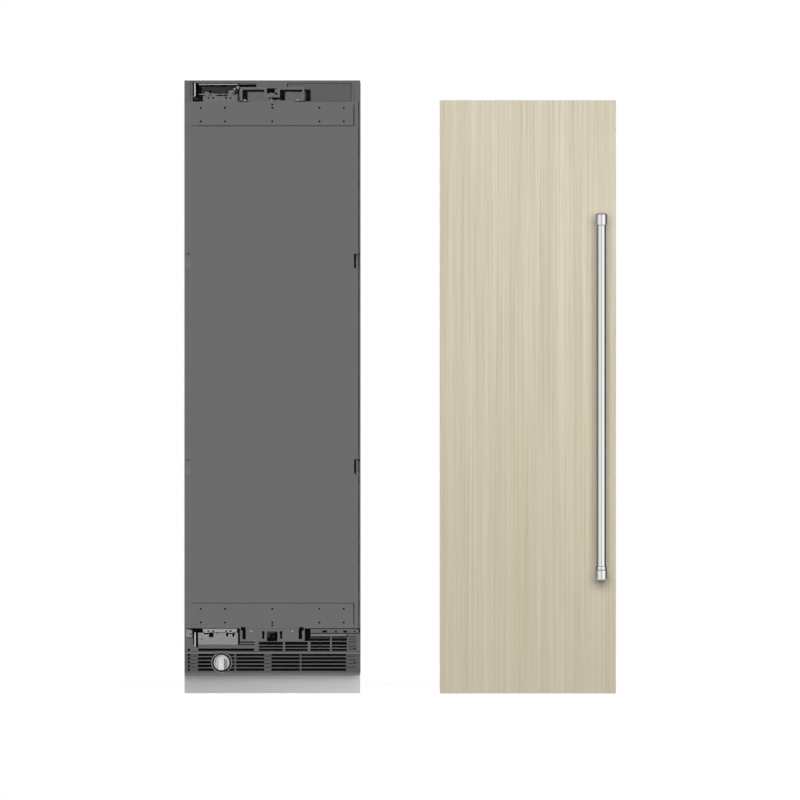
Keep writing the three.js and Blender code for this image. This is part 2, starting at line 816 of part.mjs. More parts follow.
function openTray([width, length, height], wall) {
  const outer = block(middle(0, width), [0, length], [0, height]);
  const hollow = block(middle(0, width - 2 * wall), [wall, length - wall], [wall, height + overrun]);
  return outer.subtract(hollow);
}

// Cold coil

function coldCoil() {
  return finnedBlock(coilWidth, coilDepth, coilHeight, coilFins, coilFinSheet, coilTubeRadius,
    coilTubeRows);
}

const coolFanZ = interiorBottom + coolFanAboveFloor;

function coldCoilCover() {
  const depth = [coverFront, coverFront + coverSheet];
  const cutDepth = [depth[0] - overrun, depth[1] + overrun];
  const sheet = block([-interiorHalf + fit, interiorHalf - fit], depth,
    [interiorBottom + fit, interiorTop - fit]);
  const slots = coverSlotShares.map((share) => block(middle(0, coverSlotWidth), cutDepth,
    middle(interiorBottom + share * interiorHeight, coverSlotHeight)));
  const hole = rod('y', coolFanRadius + fanTipGap, cutDepth, 0, coolFanZ, 2 * roundSides);
  const guards = [-1, 0, 1].map((step) => block(
    middle(step * coolFanRadius / 2, fanGuardBar), depth,
    middle(coolFanZ, 2 * (coolFanRadius + fanTipGap + overrun))));
  return join(cut(sheet, ...slots, hole), ...guards,
    fanMotor(coolFanRadius, 0, coolFanZ, depth[1]));
}

// Shelves, drawers and rails

function glassShelf() {
  const half = interiorHalf - fit;
  const glass = block([-half, half], [0, shelfDepth], [0, shelfGlass]);
  const trim = block([-half, half], [0, shelfTrimDepth], [shelfGlass - shelfTrimHeight, shelfGlass]);
  const sides = [-1, 1].map((side) => block(between(side * half, side * (half - shelfSideDepth)),
    [0, shelfDepth], [shelfGlass - shelfTrimHeight / 2, shelfGlass]));
  return join(glass, trim, ...sides);
}

const runnerHeight = drawerHeight * runnerHeightShare;

function drawerBox() {
  const tray = openTray([drawerWidth, drawerLength, drawerHeight], drawerWall);
  const front = block(middle(0, drawerWidth), [0, drawerFrontThickness], [0, drawerHeight]);
  const gripTop = drawerHeight - drawerGripDrop;
  const grip = block(middle(0, drawerWidth / 2), [-overrun, drawerWall],
    [gripTop - drawerGripHeight, gripTop]);
  const runners = [-1, 1].map((side) => block(
    between(side * (drawerWidth / 2 - drawerWall), side * (drawerWidth / 2 + runnerReach)),
    [runnerSetback, drawerLength], [runnerHeight, runnerHeight + runnerSheet]));
  return join(tray, front, ...runners).subtract(grip);
}

function drawerRail(side) {
  const wallFace = side * (interiorHalf - fit);
  const plateFace = side * (interiorHalf - fit - railPlate);
  const ledgeFace = side * (drawerWidth / 2 + railClearance);
  const depth = [drawerFromFront + railSetback, coverFront - fit];
  const height = [fit, drawersTop];
  const plate = block(between(wallFace, plateFace), depth, height);
  const ledges = drawerNames.map((name, index) => {
    const top = drawerAboveFloor + index * drawerPitch + runnerHeight - fit;
    return block(between(wallFace, ledgeFace), depth, [top - railLedge, top]);
  });
  return join(plate, ...ledges);
}

// Ice maker and bin

function iceMaker() {
  const width = [0, iceMakerWidth];
  const body = block(width, [0, iceMakerLength], [0, iceMakerHeight]);
  const cells = [];
  const cellLength = (iceMakerLength - iceMouldWall * (iceMouldCells + 1)) / iceMouldCells;
  for (let index = 0; index < iceMouldCells; index += 1) {
    const start = iceMouldWall + index * (cellLength + iceMouldWall);
    cells.push(block([iceMouldWall, iceMakerWidth / 2], [start, start + cellLength],
      [iceMakerHeight - iceMouldDepth, iceMakerHeight + overrun]));
  }
  const hangers = [0, iceMakerLength - iceMouldWall].map((y) => block(
    [iceMakerWidth / 2 + iceMouldWall, iceMakerWidth - iceMouldWall], [y, y + iceMouldWall],
    [iceMakerHeight - iceMouldWall, iceMakerHeight + iceMakerHang]));
  const stub = rod('y', iceStubRadius, [-iceArmStub, iceMouldWall], iceMakerWidth - iceArmSetback,
    iceMakerHeight - iceArmPivotDrop, smallSides);
  return join(cut(body, ...cells), ...hangers, stub);
}

// The feeler arm turns on a stub at the front of the ice maker; its own frame is on that axis.
function iceMakerArm() {
  const ring = rod('y', iceArmHubRadius, [-iceArmStub + fit, -2 * fit], 0, 0, smallSides);
  const bore = rod('y', iceStubRadius + fit, [-iceArmStub - overrun, overrun], 0, 0);
  const reach = iceArmLength / 2;
  const level = block([iceStubRadius + fit, reach], middle(-iceArmStub / 2, iceArmWire),
    middle(0, iceArmWire));
  const drop = block([reach - iceArmWire, reach], middle(-iceArmStub / 2, iceArmWire),
    [-iceArmDrop, iceArmWire / 2]);
  const foot = block([reach - iceArmWire, reach], [-iceArmStub / 2, iceArmLength],
    [-iceArmDrop, -iceArmDrop + iceArmWire]);
  return cut(join(ring, level, drop, foot), bore);
}

function iceBin() {
  return openTray([iceBinWidth, iceBinLength, iceBinHeight], iceBinWall);
}

// Control panel and light

function controlPanel() {
  return block(middle(0, controlWidth), [0, controlDepth], [-controlHeight, 0]);
}

function ceilingLight() {
  return block(middle(0, lightWidth), [0, lightDepth], [-lightHeight, 0]);
}

// Door, in the door's own frame: Z is 0 at its lower edge

function doorPan() {
  const height = [0, doorHeight];
  const stepY = doorFront + doorFaceStep;
  const faceHalf = halfWidth - doorFaceInset;
  const stripHalf = halfWidth - doorStripInset;
  const face = block([-faceHalf, faceHalf], [doorFront, doorShellBack], height);
  const strips = block([-stripHalf, stripHalf], [stepY, doorShellBack], height);
  const flanks = block([-halfWidth, halfWidth], [doorFront + doorStripSetback, doorShellBack], height);
  const coreHalf = halfWidth - doorCoreInset;
  const hollow = block([-coreHalf, coreHalf], [stepY + doorSkin, doorShellBack + overrun],
    [doorSkin, doorHeight - doorSkin]);
  const notches = [];
  for (const side of [-1, 1]) {
    for (const share of notchCentreShares) {
      notches.push(block(between(side * (stripHalf - notchWidth), side * (halfWidth + overrun)),
        [doorFront - overrun, stepY + notchDepth], middle(share * doorHeight, notchHeight)));
    }
  }
  const sockets = [[-overrun, hingePinDepth + doorEdgeGap], [doorHeight - hingePinDepth - doorEdgeGap,
    doorHeight + overrun]].map((span) => rod('z', hingePinRadius + fit, span, hingeX, hingeY));
  return cut(join(face, strips, flanks), hollow, ...notches, ...sockets);
}

function doorInsulation() {
  const coreHalf = halfWidth - doorCoreInset - fit;
  return block([-coreHalf, coreHalf], [doorFront + doorFaceStep + doorSkin + fit, doorShellBack],
    [doorSkin + fit, doorHeight - doorSkin - fit]);
}

const dykeHalf = interiorHalf - dykeInset;
const dykeBottom = interiorBottom - doorBottom + dykeInset;
const dykeTop = interiorTop - doorBottom - dykeInset;

function doorLiner() {
  const plate = block([-halfWidth, halfWidth], [doorShellBack + fit, -gasketGap], [0, doorHeight]);
  const dyke = block([-dykeHalf, dykeHalf], [-gasketGap - doorLinerThickness / 2, dykeDepth - gasketGap],
    [dykeBottom, dykeTop]);
  const hollow = block([-dykeHalf + dykeWall, dykeHalf - dykeWall], [-gasketGap, dykeDepth + overrun],
    [dykeBottom + dykeWall, dykeTop - dykeWall]);
  return plate.add(dyke).subtract(hollow);
}

function doorGasket() {
  const outer = halfWidth - gasketInset;
  const depth = [-gasketGap + fit, -fit];
  const low = dykeBottom - gasketInset - gasketWidth;
  const high = dykeTop + gasketInset + gasketWidth;
  const ring = block([-outer, outer], depth, [low, high]);
  const inside = block([-outer + gasketWidth, outer - gasketWidth], [-gasketGap - overrun, overrun],
    [low + gasketWidth, high - gasketWidth]);
  return ring.subtract(inside);
}

function doorBin() {
  const width = 2 * (dykeHalf - dykeWall - fit);
  return openTray([width, gasketGap + binReach, binHeight], binWall);
}

function mountingPlate(up) {
  const plateHeight = up > 0 ? upperPlateHeight : lowerPlateHeight;
  const edge = up > 0 ? doorHeight : 0;
  const half = halfWidth - plateEdgeMargin;
  const depth = [doorFront - fit - plateSheet, doorFront - fit];
  const cutDepth = [depth[0] - overrun, depth[1] + overrun];
  const plate = block([-half, half], depth, between(edge, edge - up * plateHeight));
  const holes = [];
  for (const share of plateHoleShares) {
    for (const row of [0, 1]) {
      const z = edge - up * (plateRowSetback + row * plateRowPitch);
      holes.push(rod('y', plateHoleRadius, cutDepth, share * half, z, smallSides));
    }
  }
  holes.push(rod('y', plateHoleRadius, cutDepth, 0, edge - up * plateCentreHoleDrop, smallSides));
  return cut(plate, ...holes);
}

// The strip bracket that holds the panel: an M above the door, the same upside down below it.
function panelBracket(up) {
  const reach = up > 0 ? upperBracketHeight : lowerBracketHeight;
  const loopRise = up > 0 ? upperLoopRise : lowerLoopRise;
  const edge = up > 0 ? doorHeight : 0;
  const depth = [doorFront - fit, doorFront - fit + bracketSheet];
  const high = (low, far) => between(edge + up * low, edge + up * far);
  const bars = [];
  for (const side of [-1, 1]) {
    const outer = side * bracketHalfWidth;
    const loop = side * bracketCentreHalfWidth;
    bars.push(block(between(outer, outer - side * bracketStrip), depth, high(fit, reach)));
    bars.push(block(between(outer, loop - side * bracketStrip), depth, high(reach - bracketStrip, reach)));
    bars.push(block(between(loop, loop - side * bracketStrip), depth, high(loopRise, reach)));
    bars.push(block(between(outer, outer - side * bracketFootLength),
      [depth[0], depth[0] + bracketFootDepth], high(fit, fit + bracketSheet)));
    if (up < 0) {
      const tongue = lowerTongueShares.map((share) => side * share * bracketHalfWidth);
      bars.push(block(between(...tongue), depth, high(fit, reach)));
    }
  }
  bars.push(block([-bracketCentreHalfWidth, bracketCentreHalfWidth], depth,
    high(loopRise, loopRise + bracketStrip)));
  return join(...bars);
}

// Hinges, in the cabinet's frame. up is 1 for the hinge above the door and -1 for the one below.

function hingeEdge(up) {
  return up > 0 ? doorTop : doorBottom;
}

function hingeChannel(up) {
  const rise = up > 0 ? upperChannelRise : lowerChannelRise;
  const height = up > 0 ? upperChannelHeight : lowerChannelHeight;
  const edge = hingeEdge(up);
  const span = between(edge + up * rise, edge + up * (rise + height));
  const width = channelSpan;
  const front = up > 0 ? -channelDepth + channelWebSetback : -channelDepth;
  const web = block(width, [front, front + channelSheet], span);
  const lips = [[span[0], span[0] + channelSheet], [span[1] - channelSheet, span[1]]].map(
    (lip) => block(width, [-channelDepth, -channelDepth + channelWebSetback + channelSheet], lip));
  const ribs = [[width[0], width[0] + channelRib], [width[1] - channelRib, width[1]]].map(
    (rib) => block(rib, [front, -fit], span));
  const notchDepth = [-channelDepth - overrun, -channelDepth + channelWebSetback + channelSheet + overrun];
  const notches = channelNotchShares.map((share) => channelNotch(leafSpan[0] + share * leafWidth,
    notchDepth, edge + up * rise, up));
  return cut(join(web, ...lips, ...ribs), ...notches);
}

// A round-cornered notch at the channel's edge beside the door, where a hook of the leaf looks in.
function channelNotch(x, depth, edge, up) {
  const mouth = between(edge - up * overrun, edge + up * (channelNotchDrop - channelNotchRound));
  const reach = channelNotchWidth / 2 - channelNotchRound;
  const end = edge + up * channelNotchDrop;
  const corners = [-1, 1].map((side) => rod('y', channelNotchRound, depth, x + side * reach,
    end - up * channelNotchRound, 2 * smallSides));
  return join(block(middle(x, channelNotchWidth), depth, mouth),
    block(middle(x, 2 * reach), depth, between(edge, end)), ...corners);
}

function hingeArm(up) {
  const rise = up > 0 ? upperChannelRise : lowerChannelRise;
  const height = up > 0 ? upperChannelHeight : lowerChannelHeight;
  const edge = hingeEdge(up);
  const high = (low, far) => between(edge + up * low, edge + up * far);
  const depth = middle(hingeY, hingeArmDepth);
  const channelSide = channelSpan[0] - fit;
  const arm = block([hingeX - hingeArmDepth / 2, channelSide], depth,
    high(hingeArmRise, hingeArmRise + hingeArmSheet));
  const pin = rod('z', hingePinRadius, high(-hingePinDepth, hingeArmRise + hingeArmSheet / 2),
    hingeX, hingeY);
  const barLeft = -halfWidth + hingeBarFromSide;
  const bar = block([barLeft, barLeft + hingeBarWidth], depth, high(hingeArmRise, rise + height));
  const tab = block([barLeft, channelSide], depth,
    high(rise + height / 2, rise + height / 2 + hingeArmSheet));
  return join(arm, pin, bar, tab);
}

function hingeLeaf(up) {
  const leafHeight = up > 0 ? upperLeafHeight : lowerLeafHeight;
  const edge = hingeEdge(up) - doorBottom;
  const high = (low, far) => between(edge + up * low, edge + up * far);
  const left = leafSpan[0];
  const face = block(leafSpan, [-leafFace, -leafFace + leafSheet], high(fit, leafHeight));
  const foot = block(leafSpan, [-leafFace, -leafFace + leafDepth], high(fit, fit + leafSheet));
  const holes = leafHoleShares.map((share) => rod('y', leafHoleRadius,
    [-leafFace - overrun, -leafFace + leafSheet + overrun], left + share * leafWidth,
    edge + up * (leafHeight / 2 + leafSheet), smallSides));
  const hooks = leafHookShares.map((share) => block(middle(left + share * leafWidth, leafHookWidth),
    [-leafFace, -leafFace + leafHookDepth], high(leafHeight - leafSheet, leafHeight + leafHookRise)));
  return cut(join(face, foot, ...hooks), ...holes);
}

// Top fascia

function topFascia() {
  const depth = [-fasciaProud, -fasciaProud + fasciaSheet];
  const height = [fasciaBottom + fit, cabinetTop];
  const cutDepth = [depth[0] - overrun, depth[1] + overrun];
  const face = block([-halfWidth, halfWidth], depth, height);
  const roof = block([-halfWidth, halfWidth], [-fasciaProud, -fit], [cabinetTop - fasciaSheet, cabinetTop]);
  const sides = [-1, 1].map((side) => block(between(side * insideCase, side * halfWidth),
    [-fasciaProud, -fit], height));
  const pocketHeight = [height[0] - overrun, cabinetTop - pocketTopMargin];
  const pockets = [hingePocketSpan, fromShares(rightPocketShares)].map((span) => block(span,
    cutDepth, pocketHeight));
  const slotTop = cabinetTop - loomSlotDrop;
  const loomSlot = block(fromShares(loomSlotShares), cutDepth, [slotTop - loomSlotHeight, slotTop]);
  return cut(join(face, roof, ...sides), ...pockets, loomSlot);
}

function blankHingeCover() {
  const width = fromShares(rightPocketShares);
  const height = [fasciaBottom + fit, cabinetTop - pocketTopMargin];
  const face = -fasciaProud + blankSetback;
  const plate = block(width, [face, face + fasciaSheet], height);
  const ribs = [[width[0], width[0] + channelRib], [width[1] - channelRib, width[1]]].map(
    (rib) => block(rib, [face, -fit], height));
  return join(plate, ...ribs);
}

// Door panel and handle, in the panel's own frame: X is 0 on its centre line

function woodPanel() {
  const flat = new THREE.Shape();
  const halfPanel = panelWidth / 2;
  flat.moveTo(-halfPanel + panelEdgeRound, 0);
  flat.lineTo(halfPanel - panelEdgeRound, 0);
  flat.lineTo(halfPanel, panelEdgeRound);
  flat.lineTo(halfPanel, panelThickness - panelEdgeRound);
  flat.lineTo(halfPanel - panelEdgeRound, panelThickness);
  flat.lineTo(-halfPanel + panelEdgeRound, panelThickness);
  flat.lineTo(-halfPanel, panelThickness - panelEdgeRound);
  flat.lineTo(-halfPanel, panelEdgeRound);
  flat.closePath();
  return solidOf(new THREE.ExtrudeGeometry(flat, { depth: panelHeight, bevelEnabled: false }));
}

// A round cap on the bar's axis, its outer edge bevelled, with a post back to a rose on the panel.
// Z is 0 at the handle's end. The lower cap carries a narrower collar above it.
function handleEnd(up) {
  const height = up > 0 ? upperCapHeight : lowerCapHeight;
  const outline = [[0, 0], [handleCapRadius - handleCapBevel, 0], [handleCapRadius, handleCapBevel],
    [handleCapRadius, height], [0, height]];
  const profile = up > 0 ? outline.map(([radius, z]) => [radius, -z]).reverse() : outline;
  const geometry = new THREE.LatheGeometry(profile.map((point) => new THREE.Vector2(...point)),
    2 * roundSides);
  geometry.rotateX(Math.PI / 2);
  geometry.translate(0, -handleStandoff, 0);
  const along = (start, end) => between(-up * start, -up * end);
  const post = rod('y', handlePostRadius, [-handleStandoff, -fit], 0, -up * height / 2);
  const rose = rod('y', handleRoseRadius, [-fit - handleRoseThickness, -fit], 0, -up * height / 2);
  const solids = [solidOf(geometry), post, rose];
  if (up < 0) {
    solids.push(rod('z', handleCollarRadius, along(height - handleSocketDepth, height + handleCollarHeight),
      0, -handleStandoff, 2 * roundSides));
  }
  const socket = rod('z', handleRadius + fit,
    along(height - handleSocketDepth, height + handleCollarHeight + overrun), 0, -handleStandoff,
    2 * roundSides);
  return join(...solids).subtract(socket);
}

function handleBar() {
  const sunk = handleSocketDepth - fit;
  return rod('z', handleRadius, [lowerCapHeight - sunk, handleLength - upperCapHeight + sunk],
    0, -handleStandoff, 2 * roundSides);
}

// Assembly

function group(x, y, z, ...children) {
  const node = new THREE.Group();
  node.position.set(x, y, z);
  node.add(...children);
  return node;
}

const cabinet = group(0, 0, 0,
  piece('cabinet_shell', cabinetShell(), paintedGrey),
  piece('back_panel', backPanel(), zincSheet),
  piece('foam_insulation', foamInsulation(), foamFinish),
  piece('inner_liner', innerLiner(), whitePlastic),
  piece('face_frame', faceFrame(), brushedSteel),
  piece('top_fascia', topFascia(), brushedSteel),
  piece('blank_hinge_cover', blankHingeCover(), brushedSteel),
  piece('upper_hinge_plate', hingeChannel(1), brightSteel),
  piece('lower_hinge_plate', hingeChannel(-1), brightSteel),
  piece('upper_hinge_arm', hingeArm(1), brightSteel),
  piece('lower_hinge_arm', hingeArm(-1), brightSteel),
);

const base = group(0, 0, 0,
  piece('base_pan', basePan(), zincSheet),
  piece('toe_kick', toeKick(), brushedSteel),
  piece('lower_grille', lowerGrille(), brushedSteel),
  piece('base_fascia', baseFascia(), brushedSteel),
);
for (const [name, side] of [['left', -1], ['right', 1]]) {
  const [footX, footY] = footPlace(side);
  base.add(group(footX, footY, 0, piece(`front_foot_${name}`, levellingFoot(), brightSteel)));
  const [rollerX, rollerY] = rollerPlace(side);
  base.add(group(rollerX, rollerY, rollerRadius, piece(`rear_roller_${name}`, rearRoller(), blackPlastic)));
}

const filter = group(0, 0, 0,
  piece('filter_housing', filterHousing(), blackPlastic),
  group(filterX, filterFront, filterHeight,
    piece('water_filter', waterFilter(), whitePlastic)),
  group(filterX, filterFront - fit, filterHeight,
    piece('filter_knob', filterKnob(), brightSteel)),
);

const machine = group(0, 0, 0,
  group(condenserLeft, condenserFromFront, machineFloor,
    piece('condenser', condenserBlock(), coilMetal)),
  piece('condenser_fan_shroud', condenserFanShroud(), blackPlastic),
  group(condenserFanX, shroudPlateBack + motorGap, condenserFanZ,
    piece('condenser_fan', fanRotor(condenserFanRadius), darkGrey)),
  group(compressorX, compressorY, machineFloor,
    piece('compressor', compressorPot(), compressorBlack)),
  group(drainPanLeft + drainPanWidth / 2, drainPanFront, machineFloor,
    piece('drain_pan', openTray([drainPanWidth, drainPanLength, drainPanHeight], drainPanWall),
      blackPlastic)),
);

const interior = group(0, 0, interiorBottom,
  group(-coilWidth / 2, interiorBack - fit - coilDepth, coilAboveFloor,
    piece('evaporator', coldCoil(), coilMetal)),
  group(0, 0, -interiorBottom, piece('evaporator_cover', coldCoilCover(), whitePlastic)),
  group(0, coverFront + coverSheet + motorGap, coolFanAboveFloor,
    piece('evaporator_fan', fanRotor(coolFanRadius), darkGrey)),
  group(0, controlFromFront, interiorHeight - fit,
    piece('control_panel', controlPanel(), blackPlastic)),
  group(0, lightFromFront, interiorHeight - fit,
    piece('ceiling_light', ceilingLight(), clearPlastic)),
  piece('drawer_rail_left', drawerRail(-1), whitePlastic),
  piece('drawer_rail_right', drawerRail(1), whitePlastic),
);
const shelfNames = ['lower', 'middle', 'upper'];
shelfNames.forEach((name, index) => {
  interior.add(group(0, shelfFromFront, drawersTop + shelfHeightShares[index] * shelfZone,
    piece(`shelf_${name}`, glassShelf(), shelfGlassFinish)));
});
drawerNames.forEach((name, index) => {
  interior.add(group(0, drawerFromFront, drawerAboveFloor + index * drawerPitch,
    piece(`drawer_${name}`, drawerBox(), clearPlastic)));
});

const iceMakerX = -interiorHalf + fit;
interior.add(
  group(iceMakerX, iceMakerFront, iceMakerZ, piece('ice_maker', iceMaker(), whitePlastic)),
  group(iceMakerX + iceMakerWidth - iceArmSetback, iceMakerFront,
    iceMakerZ + iceMakerHeight - iceArmPivotDrop,
    piece('ice_maker_arm', iceMakerArm(), brightSteel)),
  group(iceBinX, shelfFromFront, upperShelfTop + fit, piece('ice_bin', iceBin(), clearPlastic)),
);

const door = group(0, 0, doorBottom,
  piece('door_pan', doorPan(), brushedSteel),
  piece('door_insulation', doorInsulation(), foamFinish),
  piece('door_liner', doorLiner(), whitePlastic),
  piece('door_gasket', doorGasket(), softSeal),
  piece('upper_mounting_plate', mountingPlate(1), brushedSteel),
  piece('lower_mounting_plate', mountingPlate(-1), brushedSteel),
  piece('upper_panel_bracket', panelBracket(1), brushedSteel),
  piece('lower_panel_bracket', panelBracket(-1), brushedSteel),
  piece('upper_hinge_leaf', hingeLeaf(1), brightSteel),
  piece('lower_hinge_leaf', hingeLeaf(-1), brightSteel),
);
binNames.forEach((name, index) => {
  const z = interiorBottom - doorBottom + drawersTop + binHeightShares[index] * shelfZone;
  door.add(group(0, -gasketGap + fit, z, piece(`door_bin_${name}`, doorBin(), clearPlastic)));
});

const handleX = panelWidth / 2 - handleFromEdge;
const handleBottom = (panelHeight - handleLength) / 2;
const panel = group(panelX, doorFront, 0,
  piece('wood_panel', woodPanel(), oakFinish),
  group(handleX, 0, handleBottom + handleLength,
    piece('handle_end_upper', handleEnd(1), brightSteel)),
  group(handleX, 0, handleBottom, piece('handle_end_lower', handleEnd(-1), brightSteel)),
  group(handleX, 0, handleBottom, piece('handle_bar', handleBar(), brightSteel)),
);

export default group(0, 0, 0, cabinet, base, filter, machine, interior, door, panel);
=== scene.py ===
"""The looks of a column freezer and of its oak door panel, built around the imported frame. Metres, +Z up."""

import json
import math

import bmesh
import bpy
from mathutils import Matrix, Vector

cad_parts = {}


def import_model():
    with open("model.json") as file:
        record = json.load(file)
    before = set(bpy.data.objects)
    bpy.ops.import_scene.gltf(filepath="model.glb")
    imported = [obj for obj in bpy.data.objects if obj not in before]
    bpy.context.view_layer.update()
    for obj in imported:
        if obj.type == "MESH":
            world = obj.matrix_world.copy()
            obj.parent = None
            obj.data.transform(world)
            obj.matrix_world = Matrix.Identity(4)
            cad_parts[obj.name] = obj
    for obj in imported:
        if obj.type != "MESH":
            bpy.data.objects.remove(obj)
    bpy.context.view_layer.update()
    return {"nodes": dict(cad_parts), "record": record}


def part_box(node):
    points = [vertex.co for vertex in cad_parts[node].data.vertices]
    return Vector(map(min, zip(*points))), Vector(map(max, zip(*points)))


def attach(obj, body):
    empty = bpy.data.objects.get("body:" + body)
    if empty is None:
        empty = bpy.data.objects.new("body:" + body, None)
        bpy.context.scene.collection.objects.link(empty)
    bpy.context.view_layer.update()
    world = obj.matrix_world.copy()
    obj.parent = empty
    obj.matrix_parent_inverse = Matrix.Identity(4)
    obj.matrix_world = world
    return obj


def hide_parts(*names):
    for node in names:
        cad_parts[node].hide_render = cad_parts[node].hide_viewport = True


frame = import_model()
bodies = frame["record"]["behaviour"]["bodies"]
body_of = {name: body for body, names in bodies.items() for name in names}
pieces_on = {body: [] for body in bodies}

# The body and the material slot that a piece goes on: a node's own, and those of pieces without a node
own = {row["node"]: (body_of[row["node"]], row["material_slot"]) for row in frame["record"]["subparts"]}
CASE_STEEL, CASE_HINGE = ("cabinet", "brushed_steel"), ("cabinet", "hinge_steel")
CASE_BLACK, CASE_WHITE = ("cabinet", "black_plastic"), ("cabinet", "white_plastic")
DOOR_STEEL, DOOR_HINGE = ("door", "brushed_steel"), ("door", "hinge_steel")
DOOR_BLACK = ("door", "black_plastic")

# Sizes that several pieces share: softened edges, and how far thin pieces stand before a face
EDGE = 0.0005
FINE_EDGE = 0.0003
SKIN = 0.0001
MARK = 0.0003
LIP = 0.0006
SMOOTH_ANGLE = math.radians(30)
FLAT_ANGLE = math.radians(0.6)
ROUND = 64
SMALL_ROUND = 20


# Node trees

def node(tree, kind, settings=None, **inputs):
    """A shader node, with its inputs set from values or linked from other nodes' outputs."""
    made = tree.nodes.new(kind)
    for key, value in (settings or {}).items():
        setattr(made, key, value)
    for key, value in inputs.items():
        socket = made.inputs[int(key[1:])] if key[0] == "i" and key[1:].isdigit() else made.inputs[key]
        if isinstance(value, bpy.types.NodeSocket):
            tree.links.new(value, socket)
        else:
            socket.default_value = value
    return made


def material_of(name, colour, roughness, metallic=0.0, constants=None):
    material = bpy.data.materials.new(name)
    material.use_nodes = True
    shader = material.node_tree.nodes["Principled BSDF"]
    shader.inputs["Base Color"].default_value = (*colour, 1)
    shader.inputs["Roughness"].default_value = roughness
    shader.inputs["Metallic"].default_value = metallic
    for key, value in (constants or {}).items():
        shader.inputs[key].default_value = value
    return material


def object_place(tree):
    return node(tree, "ShaderNodeTexCoord").outputs["Object"]


def pattern(tree, scale, detail, roughness=0.55):
    """A noise in the object's own frame, stretched by scale, which is in waves per metre."""
    mapped = node(tree, "ShaderNodeMapping", i0=object_place(tree), Scale=scale).outputs[0]
    noise = node(tree, "ShaderNodeTexNoise", Vector=mapped, Scale=1.0, Detail=detail, Roughness=roughness)
    return noise.outputs[0]


def ramp(tree, value, low, high, to_low, to_high):
    return node(tree, "ShaderNodeMapRange", i0=value, i1=low, i2=high, i3=to_low, i4=to_high).outputs[0]


def mixed(tree, factor, first, second):
    """One colour turned into another by a factor; each is three numbers or the output of a node."""
    start, end = (tone if isinstance(tone, bpy.types.NodeSocket) else (*tone, 1) for tone in (first, second))
    return node(tree, "ShaderNodeMix", {"data_type": "RGBA"}, i0=factor, i6=start, i7=end).outputs[2]


def maths(tree, operation, first, second):
    return node(tree, "ShaderNodeMath", {"operation": operation}, i0=first, i1=second).outputs[0]


def scaled(colour, factor):
    return tuple(min(1.0, channel * factor) for channel in colour)


def blend(tree, value, low, high, amount, first, second):
    """Turns the first colour into the second, up to an amount, as a value goes from low to high."""
    return mixed(tree, ramp(tree, value, low, high, 0, amount), first, second)


def wire(material, colour, roughness=None, height=None, strength=0.2, distance=0.0002):
    """Links a pattern's outputs to the shader: its colour, its roughness and its relief."""
    tree = material.node_tree
    shader = tree.nodes["Principled BSDF"]
    tree.links.new(colour, shader.inputs["Base Color"])
    if roughness is not None:
        tree.links.new(roughness, shader.inputs["Roughness"])
    if height is not None:
        bump = node(tree, "ShaderNodeBump", Strength=strength, Distance=distance, Height=height)
        tree.links.new(bump.outputs[0], shader.inputs["Normal"])
    return material


# Materials

def brushed_metal(name, colour, roughness, metallic, along, contrast):
    """Sheet metal, bare or painted, with fine lines along one direction and faint larger clouding."""
    constants = {} if metallic else {"Specular IOR Level": 0.12}
    material = material_of(name, colour, roughness, metallic, constants)
    tree = material.node_tree
    scale = {"x": (6, 900, 900), "z": (900, 900, 6)}[along]
    lines = pattern(tree, scale, 2.0)
    clouds = pattern(tree, (3, 3, 3), 2.0)
    darker, lighter = scaled(colour, 1 - contrast), scaled(colour, 1 + contrast)
    tone = blend(tree, lines, 0.3, 0.7, 1.0, darker, lighter)
    whole = blend(tree, clouds, 0.3, 0.7, 0.3, tone, darker)
    rough = ramp(tree, lines, 0.3, 0.7, roughness - 0.05, roughness + 0.06)
    return wire(material, whole, rough, lines, 0.08, 0.0001)


def polished_bar(name, colour, painted_edge_level):
    """Polished steel whose colour darkens where the surface turns away from the view: a painted dark
    reflection at its edges.
    """
    material = material_of(name, colour, 0.07, 1.0)
    tree = material.node_tree
    facing = node(tree, "ShaderNodeLayerWeight", Blend=0.5).outputs["Facing"]
    edge = ramp(tree, facing, 0.2, 0.45, 0.0, 0.96)
    lines = pattern(tree, (900, 900, 5), 2.0)
    rough = ramp(tree, lines, 0.3, 0.7, 0.05, 0.1)
    return wire(material, mixed(tree, edge, colour, scaled(colour, painted_edge_level)), rough, lines, 0.03, 0.00005)


def grained_plastic(name, colour, roughness, grain=1800.0, strength=0.15, constants=None):
    """Moulded plastic or thick paint: fine grain, in grains per metre, under faint clouding."""
    material = material_of(name, colour, roughness, 0.0, constants)
    tree = material.node_tree
    grains = pattern(tree, (grain, grain, grain), 2.0)
    clouds = pattern(tree, (9, 9, 9), 3.0)
    tone = blend(tree, clouds, 0.3, 0.7, 1, scaled(colour, 0.95), scaled(colour, 1.04))
    rough = ramp(tree, clouds, 0.3, 0.7, roughness - 0.04, roughness + 0.05)
    return wire(material, tone, rough, grains, strength, 0.0002)


def clear_sheet(name, colour, alpha, roughness):
    material = material_of(name, colour, roughness, 0.0, {"Alpha": alpha, "IOR": 1.49})
    tree = material.node_tree
    flow = pattern(tree, (14, 14, 3), 2.0)
    tone = blend(tree, flow, 0.3, 0.7, 1, scaled(colour, 0.94), colour)
    return wire(material, tone, None, flow, 0.1, 0.0006)


